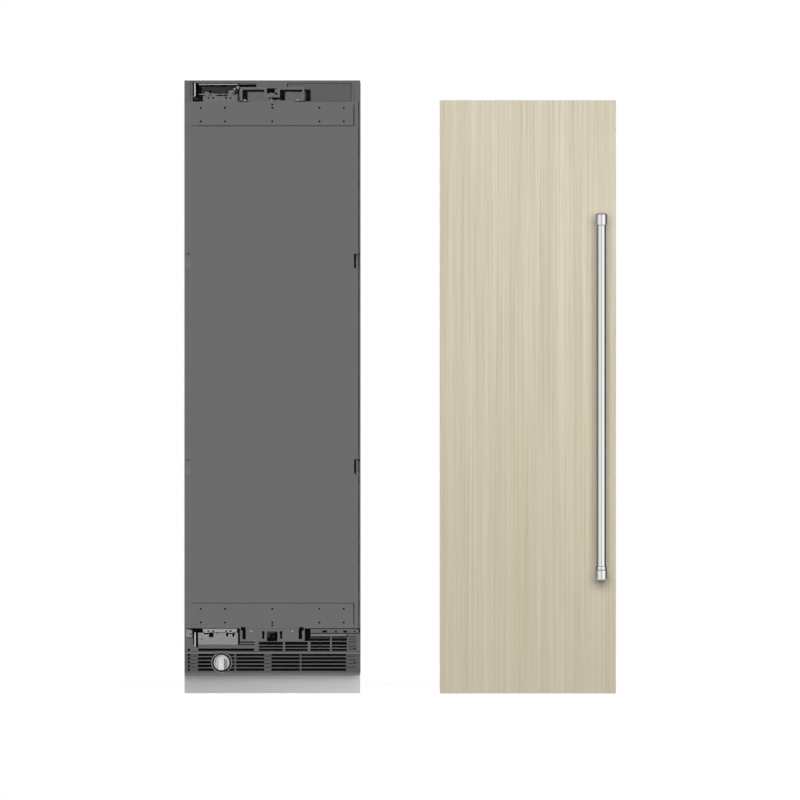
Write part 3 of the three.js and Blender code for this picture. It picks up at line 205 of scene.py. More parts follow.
def spangled_zinc(name, colour):
    """Galvanised sheet: crystals a centimetre wide that differ a little in tone, and faint roll marks."""
    material = material_of(name, colour, 0.42, 0.75)
    tree = material.node_tree
    crystals = node(tree, "ShaderNodeTexVoronoi", Vector=object_place(tree), Scale=85.0).outputs["Color"]
    tone_of = node(tree, "ShaderNodeSeparateColor", i0=crystals).outputs[0]
    clouds = pattern(tree, (4, 4, 4), 3.0)
    streaks = pattern(tree, (300, 300, 3), 2.0)
    tone = mixed(tree, tone_of, scaled(colour, 0.93), scaled(colour, 1.05))
    tone = blend(tree, clouds, 0.35, 0.65, 0.35, tone, scaled(colour, 0.85))
    rough = ramp(tree, tone_of, 0, 1, 0.36, 0.48)
    return wire(material, tone, rough, streaks, 0.03, 0.0001)


def blown_foam(name, colour):
    material = material_of(name, colour, 0.9)
    tree = material.node_tree
    cells = node(tree, "ShaderNodeTexVoronoi", Vector=object_place(tree), Scale=420.0).outputs[0]
    clouds = pattern(tree, (16, 16, 16), 4.0)
    tone = blend(tree, clouds, 0.3, 0.7, 1, scaled(colour, 0.85), scaled(colour, 1.08))
    return wire(material, tone, None, cells, 0.5, 0.0012)


def oak_veneer(name):
    """Pale straight-grained veneer: soft bands, long streaks, fine fibres and open pores, all upright."""
    light, middle, dark = (0.705, 0.662, 0.538), (0.588, 0.53, 0.405), (0.43, 0.36, 0.245)
    warm, foot = (0.56, 0.472, 0.332), (0.6, 0.53, 0.375)
    material = material_of(name, middle, 0.55, 0.0, {"Specular IOR Level": 0.35})
    tree = material.node_tree
    bands = pattern(tree, (17, 17, 0.35), 4.0, 0.6)
    streaks = pattern(tree, (62, 62, 0.55), 3.0, 0.6)
    fibres = pattern(tree, (185, 185, 1.1), 3.0, 0.7)
    pores = pattern(tree, (900, 900, 14), 2.0)
    height = node(tree, "ShaderNodeSeparateXYZ", i0=object_place(tree)).outputs[2]
    base = blend(tree, bands, 0.32, 0.66, 0.8, middle, light)
    base = blend(tree, streaks, 0.47, 0.68, 0.55, base, warm)
    base = blend(tree, fibres, 0.5, 0.72, 0.6, base, dark)
    base = blend(tree, fibres, 0.5, 0.3, 0.55, base, light)
    base = blend(tree, pores, 0.62, 0.72, 0.4, base, dark)
    # Towards the bottom of the panel the veneer blends into a warmer tone
    base = mixed(tree, ramp(tree, height, 0.0, 2.0, 0.3, 0.0), base, foot)
    rough = ramp(tree, fibres, 0.3, 0.7, 0.5, 0.64)
    return wire(material, base, rough, fibres, 0.25, 0.00025)


# Painted and plain sheets, brushed across: red and green level, blue level, roughness, contrast of the lines
ACROSS = {
    "plate_sheet": (0.187, 0.189, 0.55, 0.02),
    "fascia_sheet": (0.167, 0.168, 0.55, 0.02),
    "pocket_sheet": (0.142, 0.143, 0.55, 0.02),
    # highlit_lip_sheet: a lighter copy of the fascia's sheet, painted highlight where the grille's folded
    # lips catch the light
    "highlit_lip_sheet": (0.2, 0.202, 0.55, 0.02),
    # highlit_ledge_sheet: a lighter copy of the same sheet, painted highlight on the ledge's lit face
    "highlit_ledge_sheet": (0.25, 0.252, 0.55, 0.02),
    # louvre_sheet: a darker copy of the sheet, painted shade of louvre bars that slope away from the light
    "louvre_sheet": (0.125, 0.127, 0.55, 0.03),
    # groove_and_shade_tone: dark seams, and painted shade on the bracket flanges, the bracket core and the
    # handle's neck rings
    "groove_and_shade_tone": (0.07, 0.071, 0.6, 0.02),
    "hinge_steel": (0.34, 0.343, 0.42, 0.04),
    # dark_and_shaded_hinge_steel: dark hinge arms and hook, the upper hinge plate darkened as painted shade
    # of its pocket, and the painted shade under the service ledge
    "dark_and_shaded_hinge_steel": (0.036, 0.037, 0.5, 0.05),
    # lower_leaf_steel and upper_leaf_steel: lit and shaded copies of one leaf steel, painted highlight on the
    # lower leaf, lips and channel edge, painted shade on the upper leaf
    "lower_leaf_steel": (0.43, 0.435, 0.4, 0.05),
    "upper_leaf_steel": (0.2, 0.202, 0.45, 0.04),
    "side_plate_steel": (0.33, 0.332, 0.45, 0.04),
}
# All others: what makes them, and for each of them the values after its name
RECIPES = {
    brushed_metal: {
        "door_sheet": ((0.187, 0.187, 0.188), 0.55, 0.0, "z", 0.02),
        "toe_steel": ((0.62, 0.62, 0.625), 0.4, 0.35, "x", 0.02),
        "bright_steel": ((0.78, 0.78, 0.79), 0.24, 0.95, "z", 0.02),
        "knob_steel": ((0.5, 0.5, 0.505), 0.36, 0.1, "z", 0.03),
        # knob_grip_steel: a lighter copy of the knob steel, painted highlight on the grip
        "knob_grip_steel": ((0.62, 0.62, 0.625), 0.36, 0.1, "z", 0.03),
        "coil_metal": ((0.6, 0.61, 0.62), 0.35, 0.9, "z", 0.06),
    },
    polished_bar: {
        "handle_steel": ((0.95, 0.95, 0.96), 0.12),
        "cap_steel": ((0.96, 0.96, 0.97), 0.36),
    },
    spangled_zinc: {
        "zinc": ((0.46, 0.47, 0.48),),
    },
    grained_plastic: {
        "case_paint": ((0.15, 0.15, 0.153), 0.55, 900.0, 0.2, {"Specular IOR Level": 0.15}),
        "compressor_black": ((0.02, 0.02, 0.022), 0.28, 500.0, 0.1),
        "black_plastic": ((0.018, 0.018, 0.019), 0.5),
        # matt_black: black parts, and painted shade in wells, hollows, holes, screens and shadow lines
        "matt_black": ((0.003, 0.003, 0.003), 0.95, 700.0, 0.4, {"Specular IOR Level": 0.05}),
        "fan_plastic": ((0.05, 0.05, 0.055), 0.42),
        "white_plastic": ((0.78, 0.79, 0.8), 0.32, 700.0, 0.06),
        "grey_plastic": ((0.4, 0.41, 0.42), 0.4),
        "light_diffuser": ((0.9, 0.9, 0.88), 0.25, 300.0, 0.2,
                           {"Emission Color": (1.0, 0.97, 0.92, 1), "Emission Strength": 15.0}),
        "display_glass": ((0.01, 0.012, 0.014), 0.08, 300.0, 0.01),
        "tyre": ((0.03, 0.03, 0.031), 0.7, 1200.0, 0.4),
        "seal": ((0.3, 0.3, 0.31), 0.6, 1500.0, 0.2),
    },
    clear_sheet: {
        "clear_plastic": ((0.84, 0.9, 0.93), 0.3, 0.1),
        "shelf_glass": ((0.72, 0.84, 0.8), 0.28, 0.04),
    },
    blown_foam: {
        "foam": ((0.75, 0.62, 0.34),),
    },
    oak_veneer: {
        "oak": (),
    },
}
materials = {name: make(name, *values) for make, rows in RECIPES.items() for name, values in rows.items()}
for name, (level, blue, roughness, contrast) in ACROSS.items():
    materials[name] = brushed_metal(name, (level, level, blue), roughness, 0.0, "x", contrast)


# Mesh helpers

def middle_of(name):
    """The middle of a node's box."""
    low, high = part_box(name)
    return (low + high) / 2


def object_from(name, shape, material):
    mesh = bpy.data.meshes.new(name)
    bmesh.ops.recalc_face_normals(shape, faces=shape.faces)
    shape.to_mesh(mesh)
    shape.free()
    mesh.shade_smooth()
    mesh.set_sharp_from_angle(angle=SMOOTH_ANGLE)
    mesh.materials.append(materials[material])
    piece = bpy.data.objects.new(name, mesh)
    bpy.context.scene.collection.objects.link(piece)
    return piece


def rounded(piece, width, segments=2):
    """Softens the edges of a piece, so that they catch the light as pressed and moulded edges do."""
    bevel = piece.modifiers.new("edges", "BEVEL")
    bevel.width = width
    bevel.segments = segments
    bevel.limit_method = "ANGLE"
    bevel.angle_limit = SMOOTH_ANGLE
    bevel.harden_normals = True


def mounted(piece, on, *replaced):
    """Puts a piece on a body, in place of the nodes that it replaces; the material slot that comes with the
    body is not used.
    """
    body, slot = on
    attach(piece, body)
    pieces_on[body].append(piece)
    if replaced:
        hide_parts(*replaced)


def formed(name, material, edge=EDGE):
    """A node's own shape as a piece of its own, with merged faces and softened edges."""
    shape = bmesh.new()
    shape.from_mesh(frame["nodes"][name].data)
    bmesh.ops.remove_doubles(shape, verts=shape.verts, dist=1e-6)
    bmesh.ops.dissolve_limit(shape, angle_limit=FLAT_ANGLE, verts=shape.verts, edges=shape.edges)
    piece = object_from(name + "_formed", shape, material)
    if edge:
        rounded(piece, edge)
    mounted(piece, own[name], name)


def between(near, far, areas):
    """Boxes that reach from one depth to another; an area is its left, right, bottom and top."""
    return [((left, near, bottom), (right, far, top)) for left, right, bottom, top in areas]


def add_block(shape, low, high):
    corners = [shape.verts.new((x, y, z)) for z in (low[2], high[2])
               for x, y in ((low[0], low[1]), (high[0], low[1]), (high[0], high[1]), (low[0], high[1]))]
    for face in ((0, 1, 2, 3), (4, 5, 6, 7), (0, 1, 5, 4), (1, 2, 6, 5), (2, 3, 7, 6), (3, 0, 4, 7)):
        shape.faces.new([corners[index] for index in face])


def blocks(name, on, material, spans, edge=FINE_EDGE, segments=2, replaced=()):
    """One piece made of several boxes, each given by its low and high corner."""
    shape = bmesh.new()
    for low, high in spans:
        add_block(shape, low, high)
    piece = object_from(name, shape, material)
    if edge:
        rounded(piece, edge, segments)
    mounted(piece, on, *replaced)


def plates(name, on, material, near, far, areas, edge=FINE_EDGE, segments=2, replaced=()):
    """One piece made of upright boxes that all reach from one depth to another."""
    blocks(name, on, material, between(near, far, areas), edge, segments, replaced)


def sharp(name, on, near, far, areas, material="matt_black"):
    """Plates without softened edges."""
    blocks(name, on, material, between(near, far, areas), edge=0)


def marks(name, on, front, areas, material="matt_black", proud=MARK):
    """Thin sharp plates, a hair before a face."""
    sharp(name, on, front - proud, front - SKIN, areas, material)


TURNS = {
    "z": Matrix.Identity(3),
    "-z": Matrix(((1, 0, 0), (0, -1, 0), (0, 0, -1))),
    "y": Matrix(((1, 0, 0), (0, 0, 1), (0, -1, 0))),
    "-y": Matrix(((1, 0, 0), (0, 0, -1), (0, 1, 0))),
}


def add_turned(shape, outline, centre, axis="z", sides=ROUND):
    """A turned form: the outline's points are (radius, height along the axis), from end to end."""
    rings = []
    for radius, height in outline:
        angles = [2 * math.pi * step / sides for step in range(sides)] if radius > 0 else [0.0]
        spots = [Vector((radius * math.cos(angle), radius * math.sin(angle), height)) for angle in angles]
        rings.append([shape.verts.new(Vector(centre) + TURNS[axis] @ spot) for spot in spots])
    for first, second in zip(rings, rings[1:]):
        for step in range(sides):
            following = (step + 1) % sides
            quad = [first[step % len(first)], first[following % len(first)],
                    second[following % len(second)], second[step % len(second)]]
            corners = list(dict.fromkeys(quad))
            if len(corners) > 2:
                shape.faces.new(corners)


def turned(name, on, material, outline, places, axis="z", sides=ROUND, replaced=()):
    """One piece made of the same turned form at each of the places."""
    shape = bmesh.new()
    for place in places:
        add_turned(shape, outline, place, axis, sides)
    mounted(object_from(name, shape, material), on, *replaced)


def cylinder(radius, start, stop):
    return [(0, start), (radius, start), (radius, stop), (0, stop)]


def ring(inner, outer, start, stop):
    return [(inner, start), (outer, start), (outer, stop), (inner, stop), (inner, start)]


def screws(name, on, places, radius, height, material="bright_steel", axis="-y"):
    """Low pan heads with a socket in the middle."""
    head_shares = ((0, 0.35), (0.42, 0.35), (0.46, 1.0), (0.7, 0.98), (0.92, 0.7), (1.0, 0.25), (1.0, -0.2),
                   (0, -0.2))
    head = [(radius * across, height * up) for across, up in head_shares]
    turned(name, on, material, head, places, axis, SMALL_ROUND)


def holes(name, on, places, radius, height=MARK):
    """Flat black discs a hair before a face: painted shade for the depth of holes, and black heads where they
    stand for screws.
    """
    screws(name, on, places, radius, height, "matt_black")


# Freezer case, whose middle is at x = 0

def case():
    formed("cabinet_shell", "case_paint", edge=0.0008)
    formed("foam_insulation", "foam", edge=0)
    formed("inner_liner", "white_plastic", edge=0)
    formed("face_frame", "fascia_sheet")
    formed("back_panel", "zinc", edge=FINE_EDGE)
    low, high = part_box("back_panel")
    inset, sunk, rows = 0.012, 0.001, 9
    pitch = (high.z - low.z - 2 * inset) / (rows - 1)
    places = [(side * (high.x - inset), high.y - sunk, low.z + inset + row * pitch)
              for row in range(rows) for side in (-1, 1)]
    screws("back_panel_screws", ("cabinet", "zinc_sheet"), places, 0.004, 0.0009, axis="y")


def top_fascia():
    formed("top_fascia", "fascia_sheet")
    formed("blank_hinge_cover", "pocket_sheet")
    low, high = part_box("top_fascia")
    end_gap = 0.001
    # Left and right edge from the middle, and the tone
    seams = ((-0.2818, -0.2795, "groove_and_shade_tone"), (-0.2736, -0.2714, "matt_black"),
             (0.2792, 0.2802, "groove_and_shade_tone"))
    for number, (left, right, tone) in enumerate(seams, 1):
        marks("fascia_seam_" + str(number), CASE_STEEL, low.y,
              [(left, right, low.z + end_gap, high.z - end_gap)], tone)
    cover_low, cover_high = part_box("blank_hinge_cover")
    inset, sunk = 0.0012, 0.004
    face = (cover_low.x + inset, cover_high.x - inset, low.z + inset, cover_high.z - inset)
    plates("blank_cover_face", CASE_STEEL, "pocket_sheet", low.y + sunk, cover_low.y - SKIN, [face],
           edge=0.0008)
    tab = (0.031, 0.1095, low.z + 0.0006, low.z + 0.046)
    plates("blank_cover_tab", CASE_STEEL, "fascia_sheet", low.y - 0.0012, low.y - 0.0002, [tab])


def hinges():
    # The upper plate takes a darker copy of the lower plate's steel: painted shade of the pocket under the
    # fascia
    formed("upper_hinge_plate", "dark_and_shaded_hinge_steel", edge=FINE_EDGE)
    formed("lower_hinge_plate", "hinge_steel", edge=FINE_EDGE)
    # The upper leaf's darker steel is painted shade; the lower leaf's lighter steel is a painted highlight
    for name, steel in (("upper_hinge_arm", "dark_and_shaded_hinge_steel"), ("lower_hinge_arm", "dark_and_shaded_hinge_steel"),
                        ("upper_hinge_leaf", "upper_leaf_steel"), ("lower_hinge_leaf", "lower_leaf_steel")):
        formed(name, steel, edge=0.0004)
    leaf_holes()
    upper_hinge_fittings()
    lower_hinge_fittings()


def leaf_holes():
    """The holes through both leaves and the openings in the lower one, black as painted shade for their
    depth.
    """
    hole_shares, above_foot, below_top = (0.16, 0.3, 0.68, 0.81), 0.0133, 0.0098
    places = []
    for end in ("upper", "lower"):
        low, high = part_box(end + "_hinge_leaf")
        z = low.z + above_foot if end == "upper" else high.z - below_top
        places += [(low.x + share * (high.x - low.x), low.y, z) for share in hole_shares]
    holes("leaf_holes", DOOR_HINGE, places, 0.0033)
    opening_top = low.z + 0.0128
    openings = ((0.004, 0.036, 0.008), (0.021, 0.036, -0.002), (0.0795, 0.1105, 0.009))
    marks("leaf_openings", DOOR_HINGE, low.y,
          [(low.x + left, low.x + right, low.z + bottom, opening_top) for left, right, bottom in openings])


def hinge_bar(name, x, bottom, top, front):
    """The bright stop bar beside the channel, in a black well of painted shade."""
    half, depth, border, well = 0.0022, 0.003, 0.001, 0.0075
    back = front + depth
    plates(name, CASE_HINGE, "bright_steel", front, back, [(x - half, x + half, bottom, top)])
    area = (x - half - 1.5 * border, x + well, bottom - border, top + border)
    sharp(name + "_well", CASE_HINGE, back + 0.0002, back + 0.001, [area])


def upper_hinge_fittings():
    """The stop bar, lips lighter as painted highlights, painted shade, seam, a well of painted shade, latch
    and fasteners of the upper hinge pocket.
    """
    low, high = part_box("upper_hinge_plate")
    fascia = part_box("top_fascia")[0]
    hinge_bar("upper_hinge_bar", low.x - 0.0108, low.z - 0.006, high.z + 0.001, low.y - 0.004)
    pocket_top, loom_end, lip_left = high.z + 0.002, fascia.x + 0.247, low.x + 0.004
    lips = [(lip_left, high.x, pocket_top - 0.0068, pocket_top - 0.0032),
            (lip_left, high.x, low.z, low.z + 0.00196)]
    plates("upper_channel_lips", CASE_HINGE, "lower_leaf_steel", low.y - LIP, low.y - SKIN, lips)
    shade = (high.x + 0.0005, loom_end, pocket_top - 0.0148, pocket_top - 0.0074)
    seam = (low.x + 0.002, loom_end + 0.002, pocket_top - 0.0024, pocket_top - 0.0002)
    for name, area, tone in (("shade", shade, "matt_black"), ("seam", seam, "groove_and_shade_tone")):
        marks("upper_channel_" + name, CASE_HINGE, fascia.y, [area], tone, proud=0.0004)
    well = (low.x - 0.016, high.x + 0.004, low.z - 0.022, high.z + 0.001)
    sharp("upper_hinge_well", CASE_HINGE, high.y + 0.001, high.y + 0.002, [well])
    latch, back = high.x - 0.032, low.y - 0.001
    latch_spans = []
    for proud, *area in ((0.004, latch, latch + 0.012, low.z - 0.003, low.z + 0.013),
                         (0.003, latch + 0.008, latch + 0.02, low.z + 0.006, low.z + 0.014),
                         (0.005, high.x - 0.005, high.x + 0.004, high.z - 0.018, high.z - 0.009)):
        latch_spans += between(low.y - proud, back, [area])
    blocks("upper_hinge_latch", CASE_HINGE, "side_plate_steel", latch_spans)
    row, hole_depth = high.z - 0.019, low.y + 0.019
    screws("upper_hinge_screws", CASE_HINGE, [(high.x - 0.0115, low.y - 0.0006, row)], 0.003, 0.0014)
    holes("upper_hinge_holes", CASE_HINGE, [(low.x + 0.012, hole_depth, row)], 0.0024, 0.0004)


def lower_hinge_fittings():
    """The stop bar, wells of painted shade, channel edge lighter as a painted highlight, pocket line, side
    plate and holes of the lower hinge.
    """
    low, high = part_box("lower_hinge_plate")
    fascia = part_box("base_fascia")[0]
    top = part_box("door_pan")[0].z - 0.0015
    hinge_bar("lower_hinge_bar", low.x - 0.0102, low.z - 0.007, high.z + 0.002, low.y - 0.006)
    right = high.x + 0.0008
    wells = between(low.y + 0.0005, low.y + 0.0012, [(low.x - 0.0155, low.x + 0.0005, low.z - 0.001, top),
                                                     (right, high.x + 0.0075, low.z + 0.006, top)])
    wells += between(low.y - 0.008, low.y - 0.002, [(low.x - 0.014, low.x + 0.016, top - 0.0105, top)])
    blocks("lower_hinge_well", CASE_HINGE, "matt_black", wells, edge=0)
    plates("lower_channel_edge", CASE_HINGE, "lower_leaf_steel", low.y - LIP, low.y - SKIN,
           [(low.x + 0.002, high.x, high.z - 0.0022, high.z)])
    marks("pocket_line", CASE_STEEL, fascia.y,
          [(right, fascia.x + 0.242, fascia.z + 0.035, fascia.z + 0.0387)])
    left, plate_front, hole_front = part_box("cabinet_shell")[0].x + 0.0068, low.y - 0.0035, low.y - 0.0037
    plates("hinge_side_plate", CASE_HINGE, "side_plate_steel", plate_front, low.y - 0.0008,
           [(left, left + 0.0205, top - 0.0295, top)], edge=0.0008)
    places = [(left + 0.0165, hole_front, top - 0.0035), (left + 0.0155, hole_front, top - 0.019)]
    holes("hinge_side_holes", CASE_HINGE, places, 0.0024)
    place = (low.x + 0.0125, low.y - SKIN, high.z - 0.0215)
    holes("lower_channel_hole", CASE_HINGE, [place], 0.0022)


# Louvred fronts of the base

def grilles():
    formed("base_fascia", "fascia_sheet", edge=FINE_EDGE)
    # The lower grille in the darker sheet: painted shade for its sloping louvres
    formed("lower_grille", "louvre_sheet", edge=FINE_EDGE)
    formed("toe_kick", "toe_steel", edge=0.0004)
    dust_screens()
    service_ledge()
    grille_ribs()
    grille_lips()


def dust_screens():
    """Matt black screens behind both grilles, open where the filter's tube comes through; their black also
    paints the shade behind the slots.
    """
    gap, thickness, foot, head, width_share = 0.0012, 0.0012, 0.006, 0.0003, 0.97
    shape = bmesh.new()
    for name, sheet in (("lower_grille", 0.003), ("base_fascia", 0.002)):
        low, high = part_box(name)
        front = low.y + sheet + gap
        add_block(shape, (low.x * width_share, front, low.z + foot),
                  (high.x * width_share, front + thickness, high.z - head))
    screens = object_from("dust_screens", shape, "matt_black")
    low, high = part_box("filter_housing")
    radius, reach = (high.x - low.x) / 2 + 0.0006, 0.03
    tube = bmesh.new()
    centre = (middle_of("filter_housing").x, low.y, middle_of("filter_knob").z)
    add_turned(tube, cylinder(radius, -reach, reach), centre, "y")
    cut_away(screens, object_from("tube_cutter", tube, "matt_black"))
    mounted(screens, CASE_BLACK)


def cut_away(piece, tool):
    """Cuts the tool's shape out of a piece for good, and removes the tool."""
    boolean = piece.modifiers.new("opening", "BOOLEAN")
    boolean.operation = "DIFFERENCE"
    boolean.object = tool
    boolean.solver = "EXACT"
    graph = bpy.context.evaluated_depsgraph_get()
    mesh = bpy.data.meshes.new_from_object(piece.evaluated_get(graph))
    piece.modifiers.clear()
    piece.data = mesh
    bpy.data.objects.remove(tool)


def service_ledge():
    """The service cover at the upper right of the base, proud of the fascia, and the ledge under it in a
    lighter sheet as a painted highlight; dark marks paint the shade under the ledge, the gap and shadow line
    under the cover, and the depth of the cover's holes.
    """
    low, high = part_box("base_fascia")
    across_shares, bottom_share = (0.436, 0.985, 0.85), 0.826
    left, right, pocket_right = (share * high.x for share in across_shares)
    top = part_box("door_pan")[0].z - 0.0022
    bottom = low.z + bottom_share * (high.z - low.z) - 0.0003
    front, back = low.y - 0.006, low.y - 0.0004
    plates("service_cover", CASE_STEEL, "fascia_sheet", front, back, [(left, right, bottom, top)],
           edge=0.0006)
    inner_left, rib_left, rib_right = left + 0.0006, 0.1984, 0.2042
    plates("service_ledge", CASE_STEEL, "highlit_ledge_sheet", low.y - 0.0055, back,
           [(inner_left, pocket_right, low.z + 0.0574, low.z + 0.064)], edge=0.0008)
    shades = [(start, stop, low.z + 0.0488, low.z + 0.0562)
              for start, stop in ((inner_left, rib_left), (rib_right, pocket_right))]
    marks("service_ledge_shade", CASE_STEEL, low.y, shades, "dark_and_shaded_hinge_steel")
    # A black line under the cover: the gap between cover and ledge, with the cover's painted shadow
    marks("service_ledge_gap_and_shadow", CASE_STEEL, low.y, [(inner_left, right, low.z + 0.0659, low.z + 0.0692)],
          proud=LIP)
    hole_shares = ((0.569, 0.623), (0.714, 0.734), (0.808, 0.849))
    areas = [(start * high.x, stop * high.x, top - 0.0125, top - 0.0055) for start, stop in hole_shares]
    # The cover's holes are black boxes: painted shade for their depth
    sharp("service_holes", CASE_BLACK, front - MARK, front + 0.0002, areas)


def grille_ribs():
    """Black lines that carry the rows of slots on across the plain ends of both grilles: painted shade of
    shallow pressed grooves.
    """
    line, flush = 0.0018, 0.00005
    plain_shares = {"base_fascia": ((0.862, 0.955),),
                    "lower_grille": ((-0.925, -0.852), (-0.083, -0.02), (0.848, 0.945))}
    row_shares = {"base_fascia": (0.13, 0.19, 0.255, 0.315, 0.4, 0.46, 0.53, 0.6, 0.67),
                  "lower_grille": (0.335, 0.5, 0.67, 0.84)}
    spans = []
    for name, columns in plain_shares.items():
        low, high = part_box(name)
        heights = [low.z + share * (high.z - low.z) for share in row_shares[name]]
        areas = [(start * high.x, stop * high.x, z, z + line) for z in heights for start, stop in columns]
        spans += between(low.y - MARK, low.y - flush, areas)
    blocks("grille_ribs", CASE_STEEL, "matt_black", spans, edge=0)


def grille_lips():
    """The grille's folded lips at foot and top, lighter as painted highlights, painted shade under the top
    lip, and the screws at the right.
    """
    low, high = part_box("base_fascia")
    grille_low, grille_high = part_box("lower_grille")
    end = grille_high.x - 0.0003
    marks("grille_foot", CASE_STEEL, grille_low.y,
          [(-end, end, grille_low.z + 0.0002, grille_low.z + 0.0067)], "highlit_lip_sheet", proud=LIP)
    knob_x, beside, end = middle_of("filter_knob").x, 0.021, high.x - 0.0006
    lip_top = grille_high.z + 0.0043
    lip, shade = (grille_high.z - 0.0032, lip_top), (lip_top + 0.0002, lip_top + 0.0016)
    for name, tone, heights, proud in (("grille_lip", "highlit_lip_sheet", lip, LIP),
                                       ("grille_lip_shade", "matt_black", shade, LIP - 0.0004)):
        areas = [(-end, knob_x - beside, *heights), (knob_x + beside, end, *heights)]
        marks(name, CASE_STEEL, low.y, areas, tone, proud)
    screw_share, cover_front = 0.935, low.y - 0.0062
    x = screw_share * high.x
    places = [(x, cover_front, high.z - 0.0095), (x, low.y, low.z + 0.015), (x, low.y, low.z - 0.032)]
    holes("grille_screws", CASE_BLACK, places, 0.0027, 0.0006)


# Chassis and machine

def chassis():
    formed("base_pan", "zinc", edge=0.0004)
    for side in ("left", "right"):
        formed("front_foot_" + side, "bright_steel", edge=0.0006)
        formed("rear_roller_" + side, "tyre", edge=0.001)
    formed("condenser", "coil_metal", edge=0)
    formed("condenser_fan_shroud", "black_plastic", edge=0.0006)
    formed("condenser_fan", "fan_plastic", edge=0.0004)
    formed("compressor", "compressor_black", edge=0.001)
    formed("drain_pan", "black_plastic", edge=0.0008)
    # The housing in matt black: painted shade of the dark ring round the knob
    formed("filter_housing", "matt_black", edge=0.0006)
    formed("water_filter", "white_plastic", edge=0.001)
    compressor_fittings()


def compressor_fittings():
    """The compressor's weld seam and the cover over its start relay."""
    middle = middle_of("compressor")
    shell_radius, seam, half = 0.078, 0.0022, 0.0026
    outer, inner = shell_radius + seam, shell_radius - seam
    outline = [(inner, -half), (outer - seam / 2, -half), (outer, -half / 2), (outer, half / 2),
               (outer - seam / 2, half), (inner, half), (inner, -half)]
    turned("compressor_seam", own["compressor"], "compressor_black", outline, [middle])
    sunk, reach, half = 0.003, 0.017, 0.022
    low = middle + Vector((shell_radius - sunk, -half, -half))
    high = middle + Vector((shell_radius + reach, half, half))
    blocks("compressor_relay_cover", own["compressor"], "black_plastic", [(low, high)], 0.003)


def knob():
    """The filter's round knob: a rim round a shallow dish, a raised grip in lighter steel as a painted
    highlight, and the bezel on the grille.
    """
    low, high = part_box("filter_knob")
    x = middle_of("filter_knob").x
    radius, rim, face, dish = (high.x - low.x) / 2, 0.0032, 0.01, 0.0045
    z = high.z - radius
    outline = [(0, 0), (radius, 0), (radius, face - 0.0022), (radius - 0.0007, face - 0.0008),
               (radius - 0.0018, face), (radius - rim, face), (radius - rim - 0.0012, face - dish),
               (0, face - dish)]
    turned("filter_knob_disc", own["filter_knob"], "knob_steel", outline, [(x, high.y, z)], "-y",
           replaced=["filter_knob"])
    outer, inner, proud, grille_front = 0.0343, 0.0323, 0.001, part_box("lower_grille")[0].y
    bezel = [(inner, 0), (outer, 0), (outer, proud * 0.5), (outer - 0.0008, proud),
             (inner + 0.0006, proud), (inner, proud * 0.4), (inner, 0)]
    turned("knob_bezel", CASE_STEEL, "side_plate_steel", bezel, [(x, grille_front, z)], "-y")
    half, foot_share, grip_back = 0.0085, 0.93, high.y - face + dish + 0.001
    grip = (x - half, x + half, z - radius * foot_share, z + 0.0145)
    plates("filter_knob_grip", own["filter_knob"], "knob_grip_steel", low.y, grip_back, [grip], 0.0022, 4)


# Cold space

def cold_space():
    formed("evaporator", "coil_metal", edge=0)
    formed("evaporator_cover", "white_plastic", edge=0.0006)
    formed("evaporator_fan", "fan_plastic", edge=0.0004)
    formed("control_panel", "black_plastic", edge=0.002)
    formed("ceiling_light", "light_diffuser", edge=0.0015)
    formed("ice_maker", "white_plastic", edge=0.0012)
    formed("ice_maker_arm", "bright_steel", edge=0.0008)
    for side in ("left", "right"):
        formed("drawer_rail_" + side, "white_plastic", edge=0.001)
    for level in ("lower", "middle", "upper"):
        shelf("shelf_" + level)
        drawer("drawer_" + level)
    formed("ice_bin", "clear_plastic", edge=0.0012)
    ice_bin_trim()
    cover_beads()
    touch_panel()
    ice_maker_cover()


def white_part(name, body, near, far, areas, edge, segments=2, material="white_plastic"):
    plates(name, (body, "white_plastic"), material, near, far, areas, edge, segments)


def shelf(name):
    """A toughened glass pane in a front trim and two side trims."""
    low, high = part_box(name)
    body, pane, side_height = body_of[name], 0.005, 0.011
    trim_back, side_depth = low.y + 0.016, 0.012
    inner = high.x - side_depth
    plates(name + "_pane", (body, "shelf_glass"), "shelf_glass", trim_back, high.y,
           [(low.x + side_depth, inner, high.z - pane, high.z)], 0.0012, 3, [name])
    sides = [(left, right, high.z - side_height, high.z)
             for left, right in ((-high.x, -inner), (inner, high.x))]
    blocks(name + "_trim", (body, "white_plastic"), "white_plastic",
           between(low.y, trim_back, [(low.x, high.x, low.z, high.z)]) + between(trim_back, high.y, sides),
           0.002, 3)


def drawer(name):
    """A clear drawer with a white grip rail along its front, the shade under it and low moulded beads."""
    formed(name, "clear_plastic", edge=0.0012)
    low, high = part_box(name)
    body, inset, proud, back = body_of[name], 0.014, 0.0022, low.y - 0.0002
    rail_low, rail_high = high.z - 0.052, high.z - 0.016
    rail = (low.x + inset, high.x - inset, rail_low, rail_high)
    white_part(name + "_grip_rail", body, low.y - proud, back, [rail], 0.001, 3)
    shade = (low.x + 3 * inset, high.x - 3 * inset, rail_low + 0.004, rail_low + 0.0085)
    front = low.y - proud
    white_part(name + "_grip_shade", body, front - MARK, front + SKIN, [shade], 0, material="grey_plastic")
    bead, first, pitch, height = 0.0016, 0.03, 0.034, 0.005
    heights = [low.z + first + row * pitch for row in range(3)]
    beads = [(low.x + 2 * inset, high.x - 2 * inset, z, z + height) for z in heights]
    plates(name + "_beads", (body, "clear_plastic"), "clear_plastic", low.y - bead, back, beads, 0.0007)


